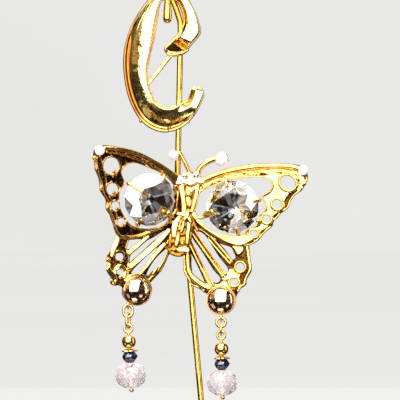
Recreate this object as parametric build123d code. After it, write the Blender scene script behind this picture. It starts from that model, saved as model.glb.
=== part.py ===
from build123d import *
import os
from math import sin, cos, tan, radians, pi, sqrt, atan2, degrees

# Decorative hair pin: long stick pin, open crescent scroll, filigree butterfly with two hanging drops.
# Frame: +X to the wearer's right of the display face, +Z up along the pin, -Y out of the display face.
# Origin: on the axis of the straight round shank. All lengths in millimetres.

# ---------------------------------------------------------------- driving dimensions
WIRE_R = 0.60            # stem wire radius
SHANK_TOP = (-3.08, 33.6)      # top of the straight round shank (x, z)
SHANK_LEAN = 0.0917      # sideways lean of the shank, x per unit of length downwards
SHANK_LEN_Z = 65.6       # height of the round shank, measured along z
POINT_LEN = 10.0         # length of the tapered point, along z
POINT_R = 0.16           # radius of the blunt tip
PAD_W = 2.4              # width of the flattened soldering pad
PAD_T = 0.70             # thickness of the flattened soldering pad
NECK_W = 0.90            # pad width where it enters the round wire
CROOK_D = 4.75           # how far forward the crook comes, from wire axis to wire axis
BULB_R = 0.92            # radius of the thick rounded end of the crook

PLATE_BACK = 0.40        # crescent back plate, distance in front of the stem axis
PLATE_T = 0.40           # crescent back plate thickness
SHELL_H = 2.80           # height of the domed crescent shell
SHELL_WALL = 0.35        # wall of the crescent shell
BRACE_W = 0.90           # width of the brace strip
BRACE_T = 0.60           # thickness of the brace strip

WING_T = 0.90            # thickness of the cast wing frames
LOWER_BACK = 1.30        # back of the lower wings at the body, in front of the stem axis
TILT_LEFT = 20.0         # forward tilt of the left wings
TILT_RIGHT = 10.0        # forward tilt of the right wings
BODY_LEAN = 11.46        # lean of the butterfly's body from vertical
HEAD = (-2.15, 50.8)       # a point of the body axis, at the head
BODY_D = 3.30            # depth of the body's axis in front of the stem axis

STONE_R = 5.30           # radius of the round crystals
STONE_CROWN = 1.60
STONE_GIRDLE = 0.30
STONE_PAV = 2.60
DOME_R = 2.76
DOME_H = 2.45
CUP_WALL = 0.28
CUP_H = 1.00
CUP_FLOOR = 0.30

LUG_R = 0.72             # lug loop: centre line radius and wire radius
LUG_W = 0.25
RING_W = 0.33            # jump ring wire radius
LINK_W = 0.30            # link and eye wire radius
EYE_R = 0.78             # centre line radius of the eye of the head pin
PIN_R = 0.25             # radius of the head pin's straight part
HOLE_R = 0.31            # bore of every bead and cap
GOLD_R = 1.42
CAP_R = 1.72
DARK_R = 1.60
DARK_H = 2.45
PINK_R = 3.10
PINK_H = 4.90
BALL_R = 0.46

os.makedirs("parts", exist_ok=True)
CL, SL = cos(radians(BODY_LEAN)), sin(radians(BODY_LEAN))


def P(x, z, d):
    """point from x, z and the distance d in front of the stem axis"""
    return Vector(x, -d, z)


def off_axis(x, z):
    """signed distance from the body axis, + to the right"""
    return (x - HEAD[0]) * CL - (z - HEAD[1]) * SL


def wing_depth(x, z, side, d0):
    t = tan(radians(TILT_RIGHT if side > 0 else TILT_LEFT))
    return d0 + t * side * off_axis(x, z)


def wing_normal(side):
    """unit vector out of the wing's face, towards the front"""
    k = tan(radians(TILT_RIGHT if side > 0 else TILT_LEFT))
    return Vector(-k * side * CL, -1, k * side * SL).normalized()


def ellipse_pts(cx, cz, rx, rz, rot=0.0, n=20):
    c, s = cos(radians(rot)), sin(radians(rot))
    out = []
    for i in range(n):
        a = 2 * pi * i / n
        u, v = rx * cos(a), rz * sin(a)
        out.append((cx + u * c - v * s, cz + u * s + v * c))
    return out


def flat_solid(pts, d0, t):
    """prism of a front outline between depths d0 and d0 + t"""
    w = Wire.make_polygon([P(x, z, d0) for x, z in pts], close=True)
    return Solid.extrude(Face(w), Vector(0, -t, 0))


def wing_solid(outer, holes, side, d0, t):
    w = Wire.make_polygon([P(x, z, wing_depth(x, z, side, d0)) for x, z in outer], close=True)
    body = Solid.extrude(Face(w), Vector(0, -t, 0))
    for h in holes:
        hw = Wire.make_polygon([P(x, z, wing_depth(x, z, side, d0 - 1.0)) for x, z in h], close=True)
        body = body - Solid.extrude(Face(hw), Vector(0, -(t + 2.0), 0))
    return body


def at(x, z, d, normal):
    return Plane(origin=P(x, z, d), x_dir=Vector(1, 0, 0).cross(normal).cross(normal) * -1, z_dir=normal)


def one(shape):
    """the largest solid of a shape"""
    s = shape.solids()
    s = sorted(s, key=lambda q: q.volume)
    return s[-1]


def rod(a, b, r):
    a, b = Vector(a), Vector(b)
    v = b - a
    return Plane(origin=a, z_dir=v.normalized()) * Cylinder(r, v.length, align=(Align.CENTER, Align.CENTER, Align.MIN))


def save(shape, name):
    shape.label = name
    export_step(shape, f"parts/{name}.step")


# ---------------------------------------------------------------- stem
shank_dir = Vector(SHANK_LEAN, 0, -1).normalized()
top = P(SHANK_TOP[0], SHANK_TOP[1], 0)
shank_len = SHANK_LEN_Z / abs(shank_dir.Z)
point_len = POINT_LEN / abs(shank_dir.Z)
shank_end = top + shank_dir * shank_len
shank = Plane(origin=top, z_dir=shank_dir) * Cylinder(WIRE_R, shank_len, align=(Align.CENTER, Align.CENTER, Align.MIN))
point = Plane(origin=shank_end, z_dir=shank_dir) * Cone(WIRE_R, POINT_R, point_len, align=(Align.CENTER, Align.CENTER, Align.MIN))
print("shank: top", top, "end", shank_end, "length", shank_len, "dir", shank_dir)

STEM_LOW = (-5.27, 50.4)          # lower end of the upper straight run
CROOK = [(-4.63, 81.6), (-5.67, 84.6), (-6.83, 87.6), (-7.09, 89.7)]   # leg of the crook behind the scroll
CROOK_FRONT = [(-7.15, 89.7), (-7.23, 85.6)]                      # leg in front
CROOK_TIP_Z = 82.08
path_pts = [P(*STEM_LOW, 0)] + [P(x, z, 0) for x, z in CROOK] + [P(x, z, CROOK_D) for x, z in CROOK_FRONT]
crook_path = FilletPolyline(*path_pts, radius=[2.5, 4.0, 2.5, 1.6, 1.6])
start_dir = (path_pts[1] - path_pts[0]).normalized()
upper = sweep(Plane(origin=path_pts[0], z_dir=start_dir) * Circle(WIRE_R), path=crook_path)
tip0 = path_pts[-1]
tip1 = P(tip0.X - 0.05, CROOK_TIP_Z + 1.2, CROOK_D)
tip2 = P(tip0.X - 0.05, CROOK_TIP_Z, CROOK_D)
tdir = (tip1 - tip0).normalized()
bulb = Plane(origin=tip0, z_dir=tdir) * Cone(WIRE_R, BULB_R, (tip1 - tip0).length, align=(Align.CENTER, Align.CENTER, Align.MIN))
bulb = bulb + rod(tip1, tip2, BULB_R) + Pos(*tip2) * Sphere(BULB_R) + Pos(*tip1) * Sphere(BULB_R)
PAD = [(-5.27, 51.1), (-5.27, 50.4), (-4.71, 48.8), (-4.11, 47.4), (-3.67, 43), (-3.03, 38.8), (-2.43, 36),
    (-2.29, 35), (-3.08, 33.6), (-3.03, 33), (-3.91, 33), (-3.15, 33.6), (-3.55, 33.6), (-4.55, 34.4),
    (-4.95, 36), (-5.25, 38.8), (-5.87, 43), (-6.31, 47.4), (-5.95, 48.8)]
# the pad is a flattened stretch of the same wire, drawn as stations: centre, half width
PAD_ST = [((-5.26, 51), NECK_W / 2), ((-5.27, 50.3), NECK_W / 2), ((-5.25, 49), PAD_W / 2 * 0.75), ((-5.15, 47.6), PAD_W / 2),
          ((-4.63, 43), PAD_W / 2), ((-3.91, 38.8), PAD_W / 2), ((-3.43, 36), PAD_W / 2), ((-3.25, 34.8), PAD_W / 2 * 0.75),
          ((-3.09, 33.7), NECK_W / 2), ((-3.03, 33), NECK_W / 2)]
left_edge = [(c[0] - w, c[1]) for c, w in PAD_ST]
right_edge = [(c[0] + w, c[1]) for c, w in PAD_ST]
pad = flat_solid(left_edge + right_edge[::-1], -PAD_T / 2, PAD_T)
stem = one(upper + bulb + pad + shank + point)

# ---------------------------------------------------------------- crescent scroll
# stations from the cut beak, over the top, down the left side to the rounded lower end: (outer, inner)
OUTER = [(-6.75, 74.7), (-3.95, 75.5), (-2.25, 77.3), (-0.59, 79.5), (-1.05, 82), (-1.95, 84.4), (-3.35, 86.7),
    (-5.35, 88.2), (-7.55, 88.8), (-9.75, 87.8), (-11.55, 85.8), (-13.15, 83.5), (-14.65, 80.8), (-15.55, 78),
    (-16.01, 75), (-16.01, 72), (-15.55, 68.6), (-14.65, 65.6), (-13.05, 62.6), (-10.75, 60.5), (-7.95, 59.64),
    (-5.35, 60.14), (-3.15, 61.6), (-1.45, 63.6), (-0.25, 66), (0.09, 67.5), (-0.55, 68.56)]
INNER = [(-7.79, 76.6), (-6.45, 77.6), (-5.35, 78.9), (-4.65, 80.2), (-4.11, 82), (-4.75, 84.5), (-5.55, 85.8),
    (-6.45, 86.2), (-7.35, 86.4), (-8.45, 85.7), (-8.95, 84.4), (-9.15, 82.6), (-9.45, 80.6), (-9.99, 77.8),
    (-10.75, 74.8), (-11.25, 72.2), (-11.05, 69.1), (-10.35, 67.2), (-9.75, 65.9), (-8.45, 64.9), (-7.35, 64.54),
    (-6.05, 64.7), (-4.65, 65.3), (-3.35, 66.2), (-2.75, 67.4), (-2.45, 68.2), (-1.75, 68.74)]


def scroll_ring(fo, fi, g0, g1):
    """outline of the scroll drawn in by fractions of its width, and in from its two ends"""
    o = [(a[0] + (b[0] - a[0]) * fo, a[1] + (b[1] - a[1]) * fo) for a, b in zip(OUTER, INNER)]
    i = [(b[0] + (a[0] - b[0]) * fi, b[1] + (a[1] - b[1]) * fi) for a, b in zip(OUTER, INNER)]

    def pull(lst, k, j, g):
        lst[k] = (lst[k][0] + (lst[j][0] - lst[k][0]) * g, lst[k][1] + (lst[j][1] - lst[k][1]) * g)
    pull(o, 0, 1, g0)
    pull(i, 0, 1, g0)
    pull(o, -1, -3, g1)
    pull(i, -1, -3, g1)
    pull(o, -2, -3, g1 * 0.5)
    pull(i, -2, -3, g1 * 0.5)
    return o + i[::-1]


def ring_wire(pts, d):
    return Wire.make_polygon([P(x, z, d) for x, z in pts], close=True)


def loft_between(levels):
    """ruled solid through outlines at rising depth"""
    return Solid.make_loft([ring_wire(p, d) for p, d in levels], ruled=True)


base_d = PLATE_BACK + PLATE_T
back_plate = flat_solid(scroll_ring(0, 0, 0, 0), PLATE_BACK, PLATE_T)
shell_out = loft_between([(scroll_ring(0.05, 0.05, 0.05, 0.10), base_d),
                          (scroll_ring(0.16, 0.09, 0.12, 0.18), base_d + SHELL_H * 0.60),
                          (scroll_ring(0.40, 0.20, 0.30, 0.40), base_d + SHELL_H)])
shell_in = loft_between([(scroll_ring(0.13, 0.13, 0.20, 0.25), base_d - 0.2),
                         (scroll_ring(0.24, 0.17, 0.25, 0.32), base_d + SHELL_H * 0.60 - 0.1),
                         (scroll_ring(0.46, 0.27, 0.42, 0.52), base_d + SHELL_H - SHELL_WALL)])
shell = one(shell_out - shell_in)
back_plate = one(back_plate - stem)
BRACE_A = (-11.35, 68.94)
BRACE_B = (-6.55, 75.16)
bdx, bdz = BRACE_B[0] - BRACE_A[0], BRACE_B[1] - BRACE_A[1]
bl = sqrt(bdx * bdx + bdz * bdz)
nx, nz = -bdz / bl * BRACE_W / 2, bdx / bl * BRACE_W / 2
brace = flat_solid([(BRACE_A[0] + nx, BRACE_A[1] + nz), (BRACE_B[0] + nx, BRACE_B[1] + nz),
                    (BRACE_B[0] - nx, BRACE_B[1] - nz), (BRACE_A[0] - nx, BRACE_A[1] - nz)], PLATE_BACK + 0.1, BRACE_T)
brace = one(brace - back_plate - shell_out)

# ---------------------------------------------------------------- butterfly wings
RU_OUT = [(-3.15, 45.8), (-2.85, 47.3), (-1.95, 49.2), (0.45, 50.5), (2.71, 51.7), (6.03, 52.54), (10.17, 53.2),
    (14.33, 53.36), (17.65, 53.2), (19.25, 52.86), (20.35, 52.24), (20.65, 51.2), (20.63, 50.04), (19.85, 49.6),
    (19.55, 48.6), (19.13, 47.72), (18.05, 46.8), (17.31, 45.74), (16.95, 44.7), (16.47, 44.08), (15.45, 43.4),
    (14.81, 42.6), (14.01, 41.8), (13.65, 40.76), (12.65, 39.9), (11.83, 39.1), (11.15, 38.2), (10.17, 37.44),
    (9.01, 36.94), (7.53, 36.86), (5.65, 37.04), (4.03, 37.6), (1.89, 38.94), (-0.11, 40.1), (-1.43, 41.1),
    (-2.95, 42.2), (-3.67, 43.28)]
RU_CELL = [(-0.61, 47.56), (1.89, 48.72), (3.85, 49.6), (5.21, 50.08), (8.51, 50.5), (11.83, 50.54), (13.17, 49.88),
    (13.65, 48.88), (12.99, 47.72), (11.65, 46.9), (11.71, 46.2), (12.15, 45.4), (12.35, 44.6), (11.95, 43.6),
    (11.15, 43.1), (10.81, 42.2), (10.55, 41), (9.25, 40.5), (8.45, 39.9), (7.85, 39.16), (5.85, 38.9),
    (2.39, 39.5), (0.65, 40.4), (-0.35, 41.5), (-1.05, 42.4), (-1.75, 43.4), (-1.15, 45.6)]
R_HOLES = [((16.69, 49.44), 1.58, 1.32, -35), ((14.57, 45.16), 1.00, 0.88, -35), ((12.49, 42.26), 0.79, 0.75, -35), ((9.93, 39.3), 0.72, 0.70, 0)]
LU_OUT = [(-2.55, 48.8), (-3.95, 50.1), (-5.35, 51.04), (-6.99, 52.2), (-9.49, 53.86), (-12.79, 55.52),
    (-16.11, 56.44), (-19.43, 56.84), (-20.85, 56.68), (-21.65, 56), (-21.91, 54.8), (-21.79, 53.9),
    (-21.45, 52.8), (-21.25, 51.4), (-20.79, 50), (-20.59, 48.06), (-20.15, 47.2), (-19.47, 46.24),
    (-19.49, 44.8), (-19.37, 44), (-18.75, 43.1), (-18.43, 42.08), (-18.05, 41.2), (-17.89, 40.26),
    (-17.35, 39.4), (-16.95, 38.8), (-16.11, 38.42), (-14.79, 38.3), (-12.79, 38.6), (-11.15, 39.24),
    (-8.99, 40.1), (-6.99, 41.3), (-5.75, 42.5), (-3.83, 42.52), (-3.45, 44.4)]
LU_CELL = [(-16.29, 51.3), (-15.85, 52.4), (-14.95, 53.1), (-13.95, 53.34), (-12.75, 53.14), (-11.15, 52.5),
    (-9.15, 51.7), (-7.75, 50.84), (-6.75, 49.9), (-5.95, 48.8), (-5.43, 47.6), (-5.45, 46.4), (-6.03, 45.4),
    (-6.11, 44.5), (-6.65, 43.5), (-7.15, 42.9), (-7.25, 41.9), (-8.15, 41), (-9.75, 40.5), (-11.35, 40.3),
    (-12.95, 40.5), (-14.15, 40.96), (-15.03, 41.7), (-15.83, 42.9), (-16.47, 44.2), (-16.67, 45.4),
    (-16.71, 46.8), (-16.51, 48), (-15.89, 48.8), (-15.75, 49.8)]
L_HOLES = [((-18.31, 52.74), 1.53, 1.70, 0), ((-18.11, 48.14), 1.08, 1.20, 0), ((-17.53, 44.8), 0.80, 0.92, 0), ((-16.41, 41.6), 0.76, 0.80, 0)]
RL_OUT = [(-4.03, 41.6), (-2.15, 41.7), (-0.11, 40.4), (1.89, 39.24), (4.05, 37.9), (5.65, 37.34), (7.53, 37.2),
    (8.97, 37.28), (9.17, 36), (9.37, 34.4), (9.57, 33), (9.57, 31.8), (8.97, 30.8), (8.57, 30), (8.51, 29.08),
    (7.65, 28.7), (7.05, 28), (6.75, 27.2), (6.49, 26.6), (6.45, 25.6), (5.95, 24.6), (5.15, 23.7),
    (4.05, 23.16), (2.85, 23.2), (1.75, 23.8), (0.97, 24.8), (0.63, 26), (0.71, 27.1), (-0.05, 27.54),
    (-0.85, 28.24), (-1.95, 28.7), (-2.75, 29.2), (-3.15, 30.1), (-3.75, 31), (-4.07, 32), (-4.11, 33.6),
    (-4.15, 35.2), (-4.25, 36.6), (-5.03, 36.5)]
RL_OPEN = [[(-3.09, 36.6), (-2.67, 35.2), (-2.59, 32.4), (-2.31, 31.4), (-1.51, 30.6), (-0.35, 29.74), (0.25, 29.54),
    (-0.11, 30.5), (-1.15, 32.8), (-2.27, 35)],
           [(-2.59, 39.1), (-1.83, 37.8), (-0.75, 36.36), (0.65, 34.2), (2.05, 32), (3.25, 30.7), (3.35, 30),
    (2.95, 29.5), (2.15, 29.4), (1.35, 29.9), (0.65, 31.4), (-0.55, 33.8), (-1.71, 36.2), (-2.51, 37.9)],
           [(-1.65, 39.8), (-0.55, 39.64), (0.35, 38.96), (0.99, 38.1), (1.89, 36.6), (3.05, 34.8), (4.25, 33.3),
    (4.85, 32.4), (4.89, 31.54), (4.25, 31.4), (3.45, 32.3), (2.05, 34.2), (0.49, 36.7), (-0.91, 38.64)],
           [(2.15, 38.24), (3.45, 37.3), (5.45, 36.64), (6.05, 35.6), (6.45, 34.6), (5.89, 34), (5.45, 34.3),
    (4.25, 35.96), (2.89, 37.44)]]
RL_HOLES = [((7.23, 32.66), 0.80, 0.80, 0), ((6.03, 29.66), 0.80, 0.65, 0)]
LL_OUT = [(-3.19, 41.5), (-4.45, 36.3), (-5.55, 34.7), (-6.55, 35.2), (-7.15, 34.6), (-7.55, 33.6), (-8.11, 32.4),
    (-8.69, 31.6), (-9.55, 30.6), (-10.35, 29.8), (-10.69, 29.3), (-10.51, 28.2), (-10.79, 26.9), (-11.55, 26),
    (-12.65, 25.28), (-13.95, 25.16), (-15.15, 25.64), (-15.99, 26.5), (-16.39, 27.6), (-16.31, 28.6),
    (-16.95, 28.96), (-17.75, 29), (-18.43, 29.2), (-18.47, 30.2), (-18.75, 31.1), (-19.35, 31.8),
    (-19.27, 32.5), (-18.95, 33.5), (-19.39, 34), (-19.35, 34.8), (-18.75, 35.6), (-18.15, 37), (-17.55, 38.7),
    (-17.15, 39.4), (-15.55, 38.7), (-14.75, 38.6), (-12.75, 38.9), (-11.15, 39.54), (-8.99, 40.4),
    (-6.99, 41.6), (-5.55, 42.48)]
LL_OPEN = [[(-14.85, 38.1), (-13.95, 38.2), (-12.55, 38.32), (-11.95, 38.42), (-12.95, 37.6), (-14.15, 36.7),
    (-14.75, 36.2), (-15.45, 36.3), (-15.15, 37.4)],
           [(-14.55, 35.2), (-13.75, 35.9), (-12.35, 37.1), (-11.15, 38.1), (-10.55, 38.36), (-9.15, 39.2),
    (-7.75, 40.06), (-7.45, 39.96), (-8.75, 38.8), (-10.75, 37.1), (-12.75, 35.2), (-14.15, 34), (-14.75, 33.4),
    (-14.85, 34.4)],
           [(-14.15, 32.1), (-13.55, 32.8), (-11.75, 34.6), (-9.75, 36.3), (-8.75, 36.8), (-8.15, 37.26), (-9.35, 36),
    (-10.35, 34.8), (-11.35, 33.4), (-12.55, 31.8), (-13.15, 31.32), (-14.55, 31.32)],
           [(-11.55, 31.1), (-10.95, 32.4), (-9.95, 34), (-8.75, 35.3), (-7.95, 36), (-7.35, 36.4), (-7.45, 35.4),
    (-8.23, 33.6), (-8.83, 32.8), (-9.55, 32.4), (-10.35, 31.6), (-11.15, 30.8)]]
LL_HOLES = [((-16.77, 34.72), 0.75, 0.75, 0), ((-16.61, 31.66), 0.72, 0.50, 0)]
UPPER_BACK = LOWER_BACK + WING_T
TIP_BEAD_R = 1.0
TIP_R = (19.75, 51.96)
TIP_L = (-20.55, 55.8)


def clip_side(solid, side):
    """keep the part of a wing on its own side of the body axis"""
    c = P(HEAD[0], HEAD[1], 0)
    big = Plane(origin=c, x_dir=Vector(CL, 0, -SL), z_dir=Vector(0, -1, 0)) * Box(
        60, 200, 60, align=(Align.MIN if side > 0 else Align.MAX, Align.CENTER, Align.CENTER))
    return one(solid & big)


def ells(holes):
    return [ellipse_pts(c[0], c[1], rx, rz, rot) for c, rx, rz, rot in holes]


wing_ru = clip_side(wing_solid(RU_OUT, [RU_CELL] + ells(R_HOLES), 1, UPPER_BACK, WING_T), 1)
wing_lu = clip_side(wing_solid(LU_OUT, [LU_CELL] + ells(L_HOLES), -1, UPPER_BACK, WING_T), -1)
wing_rl = clip_side(wing_solid(RL_OUT, RL_OPEN + ells(RL_HOLES), 1, LOWER_BACK, WING_T), 1)
wing_ll = clip_side(wing_solid(LL_OUT, LL_OPEN + ells(LL_HOLES), -1, LOWER_BACK, WING_T), -1)

tip_beads = {}
for side, c in ((1, TIP_R), (-1, TIP_L)):
    d = wing_depth(c[0], c[1], side, UPPER_BACK) + WING_T / 2 + 0.2
    tip_beads[side] = Pos(*P(c[0], c[1], d)) * Sphere(TIP_BEAD_R)
wing_ru = one(wing_ru - tip_beads[1])
wing_lu = one(wing_lu - tip_beads[-1])

# ---------------------------------------------------------------- butterfly body
# profile of revolution about the body axis: (distance down the axis from the head point, radius)
BODY = [(-1.9, 0.0), (-1.7, 0.75), (-1.0, 1.35), (0.0, 1.62), (0.9, 1.45), (1.6, 1.25), (2.6, 1.75), (4.2, 1.95),
        (5.8, 1.6), (7.2, 1.1), (8.0, 0.95), (9.2, 1.35), (11.4, 1.75), (13.6, 1.6), (15.2, 1.35), (16.2, 0.9), (16.5, 0.0)]
down = Vector(-SL, 0, -CL)
prof = Polyline(*[(r, s) for s, r in BODY], close=True)
body_face = make_face(prof)
body_pl = Plane(origin=P(HEAD[0], HEAD[1], BODY_D), x_dir=Vector(CL, 0, -SL), z_dir=Vector(0, 1, 0) if Vector(0, 1, 0).cross(Vector(CL, 0, -SL)).dot(down) > 0 else Vector(0, -1, 0))
butterfly_body = revolve(body_pl * body_face, axis=Axis(P(HEAD[0], HEAD[1], BODY_D), down))
tail = Plane(origin=P(HEAD[0], HEAD[1], BODY_D - 0.3) + down * 15.6, z_dir=Vector(0, 1, 0)) * Torus(1.15, 0.40)
butterfly_body = butterfly_body + tail
front_half = Pos(0, -LOWER_BACK, 0) * Box(300, 40, 300, align=(Align.CENTER, Align.MAX, Align.CENTER))
butterfly_body = butterfly_body & front_half
for w in (wing_ru, wing_lu, wing_rl, wing_ll):
    butterfly_body = butterfly_body - w
butterfly_body = one(butterfly_body)

# solder between the flattened pad and the back of the butterfly
SOLDER = [((-5.07, 46.8), 1.0), ((-4.63, 43), 1.1), ((-3.95, 39), 1.1), ((-3.55, 36.8), 0.9)]
sl = [(c[0] - w, c[1]) for c, w in SOLDER]
sr = [(c[0] + w, c[1]) for c, w in SOLDER]
solder = flat_solid(sl + sr[::-1], PAD_T / 2, LOWER_BACK - PAD_T / 2)
# the upper wings stand one thickness further forward, so the solder fills up to them behind the thorax
solder2 = flat_solid([(x, z) for x, z in ((-5.43, 46.8), (-2.75, 46.8), (-3.23, 43.6), (-5.23, 43.6))], PAD_T / 2, 3.0)
solder = solder + solder2
for w in (wing_ru, wing_lu, wing_rl, wing_ll, butterfly_body, stem):
    solder = solder - w
solder = one(solder)

# small solid beads soldered on the body
thorax_c = P(*(-3.07, 47.1), BODY_D + 1.95)
thorax_bead = Pos(*thorax_c) * Sphere(0.72)
thorax_bead = one(thorax_bead - butterfly_body)
abdomen_c = P(*(-4.39, 37.36), BODY_D + 1.35)
abdomen_bead = Pos(*abdomen_c) * Sphere(0.62)
abdomen_bead = one(abdomen_bead - butterfly_body)

# ---------------------------------------------------------------- antennae
ant_l_pts = [P(*(-2.83, 51.1), BODY_D), P(*(-3.83, 53.2), BODY_D + 0.2), P(*(-4.89, 55.48), BODY_D + 0.35), P(*(-5.71, 55.12), BODY_D + 0.45)]
ant_r_pts = [P(*(-1.31, 50.84), BODY_D), P(*(-0.43, 52.56), BODY_D + 0.2), P(*(1.15, 53.64), BODY_D + 0.35), P(*(2.65, 54.04), BODY_D + 0.45)]


def antenna(pts, r, rad):
    path = FilletPolyline(*pts, radius=rad)
    d = (pts[1] - pts[0]).normalized()
    return sweep(Plane(origin=pts[0], z_dir=d) * Circle(r), path=path)


STONE_L = ((-6.09, 54.88), 1.00)
STONE_R2 = ((3.59, 54.1), 1.35)
ant_l = antenna(ant_l_pts, 0.40, [6.0, 0.7])
ant_r = antenna(ant_r_pts, 0.55, [2.2, 3.0])


def tip_stone(c, r, d):
    """a small round stone and the cup that holds it"""
    pl = Plane(origin=P(c[0], c[1], d), x_dir=Vector(1, 0, 0), z_dir=Vector(0, -1, 0))
    cup_p = Polyline((0, -0.55 * r - 0.25), (0.62 * r, -0.55 * r - 0.25), (r + 0.10, -0.10), (r + 0.10, 0.22), (0.99 * r, 0.22), (0.99 * r, 0), (0.55 * r, -0.55 * r), (0, -0.55 * r), close=True)
    st_p = Polyline((0, -0.55 * r), (0.55 * r, -0.55 * r), (0.99 * r, 0), (0.99 * r, 0.25), (0.86 * r, 0.45 * r + 0.2), (0.5 * r, 0.62 * r + 0.2), (0, 0.66 * r + 0.2), close=True)
    rot = Plane.XZ
    cup = revolve(rot * make_face(cup_p), axis=Axis.Z)
    stn = revolve(rot * make_face(st_p), axis=Axis.Z)
    return pl.location * cup, pl.location * stn


cup_al, stone_al = tip_stone(STONE_L[0], STONE_L[1], BODY_D + 0.75)
cup_ar, stone_ar = tip_stone(STONE_R2[0], STONE_R2[1], BODY_D + 0.85)
ant_l = one(ant_l - cup_al - stone_al - butterfly_body)
ant_r = one(ant_r - cup_ar - stone_ar - butterfly_body)
for w in (wing_ru, wing_lu):
    ant_l = one(ant_l - w)
    ant_r = one(ant_r - w)

# ---------------------------------------------------------------- crystals and their settings
CRYS = {1: (6.03, 44.58), -1: (-11.35, 46.2)}
CLAWS = {1: (194, 282, 14, 104), -1: (323, 243, 143, 58)}
RING_IN, RING_OUT, RING_T = 3.95, 4.75, 0.70
stones, settings = {}, {}
for side in (1, -1):
    cx, cz = CRYS[side]
    n = wing_normal(side)
    d = wing_depth(cx, cz, side, UPPER_BACK)
    pl = Plane(origin=P(cx, cz, d), x_dir=Vector(1, 0, 0) - n * n.X, z_dir=n)
    ring_lo = 0.10
    g = ring_lo + RING_T + 0.82          # underside of the girdle
    prof = Polyline((0, g - STONE_PAV), (0.5, g - STONE_PAV), (STONE_R, g), (STONE_R, g + STONE_GIRDLE), (3.0, g + STONE_GIRDLE + STONE_CROWN), (0, g + STONE_GIRDLE + STONE_CROWN), close=True)
    stone = revolve(Plane.XZ * make_face(prof), axis=Axis.Z)
    setting = Pos(0, 0, ring_lo) * (Cylinder(RING_OUT, RING_T, align=(Align.CENTER, Align.CENTER, Align.MIN)) - Cylinder(RING_IN, RING_T, align=(Align.CENTER, Align.CENTER, Align.MIN)))
    gt = g + STONE_GIRDLE
    for a in CLAWS[side]:
        foot = Pos(4.35, 0, ring_lo) * Box(1.65, 0.9, RING_T, align=(Align.MIN, Align.CENTER, Align.MIN))
        post = Pos(STONE_R + 0.03, 0, ring_lo) * Box(0.67, 0.9, gt + 0.85 - ring_lo, align=(Align.MIN, Align.CENTER, Align.MIN))
        lip = Pos(4.72, 0, gt + 0.45) * Box(1.2, 0.9, 0.40, align=(Align.MIN, Align.CENTER, Align.MIN))
        setting = setting + Rot(0, 0, a) * (foot + post + lip)
    setting = pl.location * setting
    stone = pl.location * stone
    stones[side] = stone
    settings[side] = setting
ARM = {1: ([(1.65, 44.16), (1.85, 43.16), (-0.25, 42.04), (-1.55, 42.1), (-1.55, 42.9), (-0.15, 43.28)]),
       -1: ([(-8.05, 44.56), (-8.75, 43.48), (-7.35, 42.48), (-6.35, 42.6), (-5.45, 43.4), (-5.45, 44.12), (-6.65, 43.72)])}
for side, w in ((1, wing_ru), (-1, wing_lu)):
    a = ARM[side]
    arm = wing_solid(a, [], side, UPPER_BACK + 0.15, 0.6)
    s = settings[side] + arm
    s = s - w - stones[side] - butterfly_body
    settings[side] = one(s)

# ---------------------------------------------------------------- domes in their cups
DOME = {1: (3.55, 26.02), -1: (-13.43, 28.02)}
domes, cups, lugs = {}, {}, {}
LUG = {1: (3.43, 22.64), -1: (-15.07, 25.18)}
LUG_D = {}
for side, w in ((1, wing_rl), (-1, wing_ll)):
    cx, cz = DOME[side]
    n = wing_normal(side)
    d = wing_depth(cx, cz, side, LOWER_BACK) + WING_T
    pl = Plane(origin=P(cx, cz, d), x_dir=Vector(1, 0, 0) - n * n.X, z_dir=n)
    cup = Cylinder(DOME_R + CUP_WALL, CUP_H, align=(Align.CENTER, Align.CENTER, Align.MIN)) - Pos(0, 0, CUP_FLOOR) * Cylinder(DOME_R, CUP_H, align=(Align.CENTER, Align.CENTER, Align.MIN))
    rs = DOME_R - 0.02
    dome_p = [(0, CUP_FLOOR), (rs, CUP_FLOOR), (rs, CUP_FLOOR + 0.75)]
    for i in range(1, 10):
        a = radians(10 * i)
        dome_p.append((rs * cos(a) if i < 9 else 0.0, CUP_FLOOR + 0.75 + (DOME_H - 0.75) * sin(a)))
    dome = revolve(Plane.XZ * make_face(Polyline(*dome_p, close=True)), axis=Axis.Z)
    cups[side] = one(pl.location * cup - w)
    domes[side] = pl.location * dome
    LUG_D[side] = d + 0.55
    lx, lz = LUG[side]
    lug = Plane(origin=P(lx, lz, LUG_D[side]), z_dir=Vector(1, 0, 0)) * Torus(LUG_R, LUG_W)
    # short stalk from the cup's wall to the loop
    vx, vz = cx - lx, cz - lz
    vl = sqrt(vx * vx + vz * vz)
    a0 = P(lx + vx / vl * LUG_R, lz + vz / vl * LUG_R, LUG_D[side])
    a1 = P(lx + vx / vl * (LUG_R + 1.7), lz + vz / vl * (LUG_R + 1.7), LUG_D[side] - 0.1)
    lug = lug + rod(a0, a1, 0.24)
    lug = lug - cups[side] - domes[side] - w
    parts_l = sorted(lug.solids(), key=lambda q: q.volume)
    lugs[side] = parts_l[-1]

# ---------------------------------------------------------------- drops


def oval(h, w, r):
    """closed wire loop standing in the XZ plane, centred on its top wire's axis point, hanging down"""
    s = h - w
    top_c, bot_c = -w, -(w + 2 * s)
    if s < 1e-6:
        return one(Plane(origin=(0, 0, top_c), z_dir=(0, 1, 0)) * Torus(w, r))
    face_c = Plane(origin=(w, 0, top_c), z_dir=(0, 0, 1)) * Circle(r)
    arc_top = revolve(face_c, axis=Axis((0, 0, top_c), (0, -1, 0)), revolution_arc=180)
    face_b = Plane(origin=(w, 0, bot_c), z_dir=(0, 0, 1)) * Circle(r)
    arc_bot = revolve(face_b, axis=Axis((0, 0, bot_c), (0, 1, 0)), revolution_arc=180)
    out = arc_top + arc_bot
    for sx in (-1, 1):
        out = out + Pos(sx * w, 0, bot_c) * Cylinder(r, 2 * s, align=(Align.CENTER, Align.CENTER, Align.MIN))
    return one(out)


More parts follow.
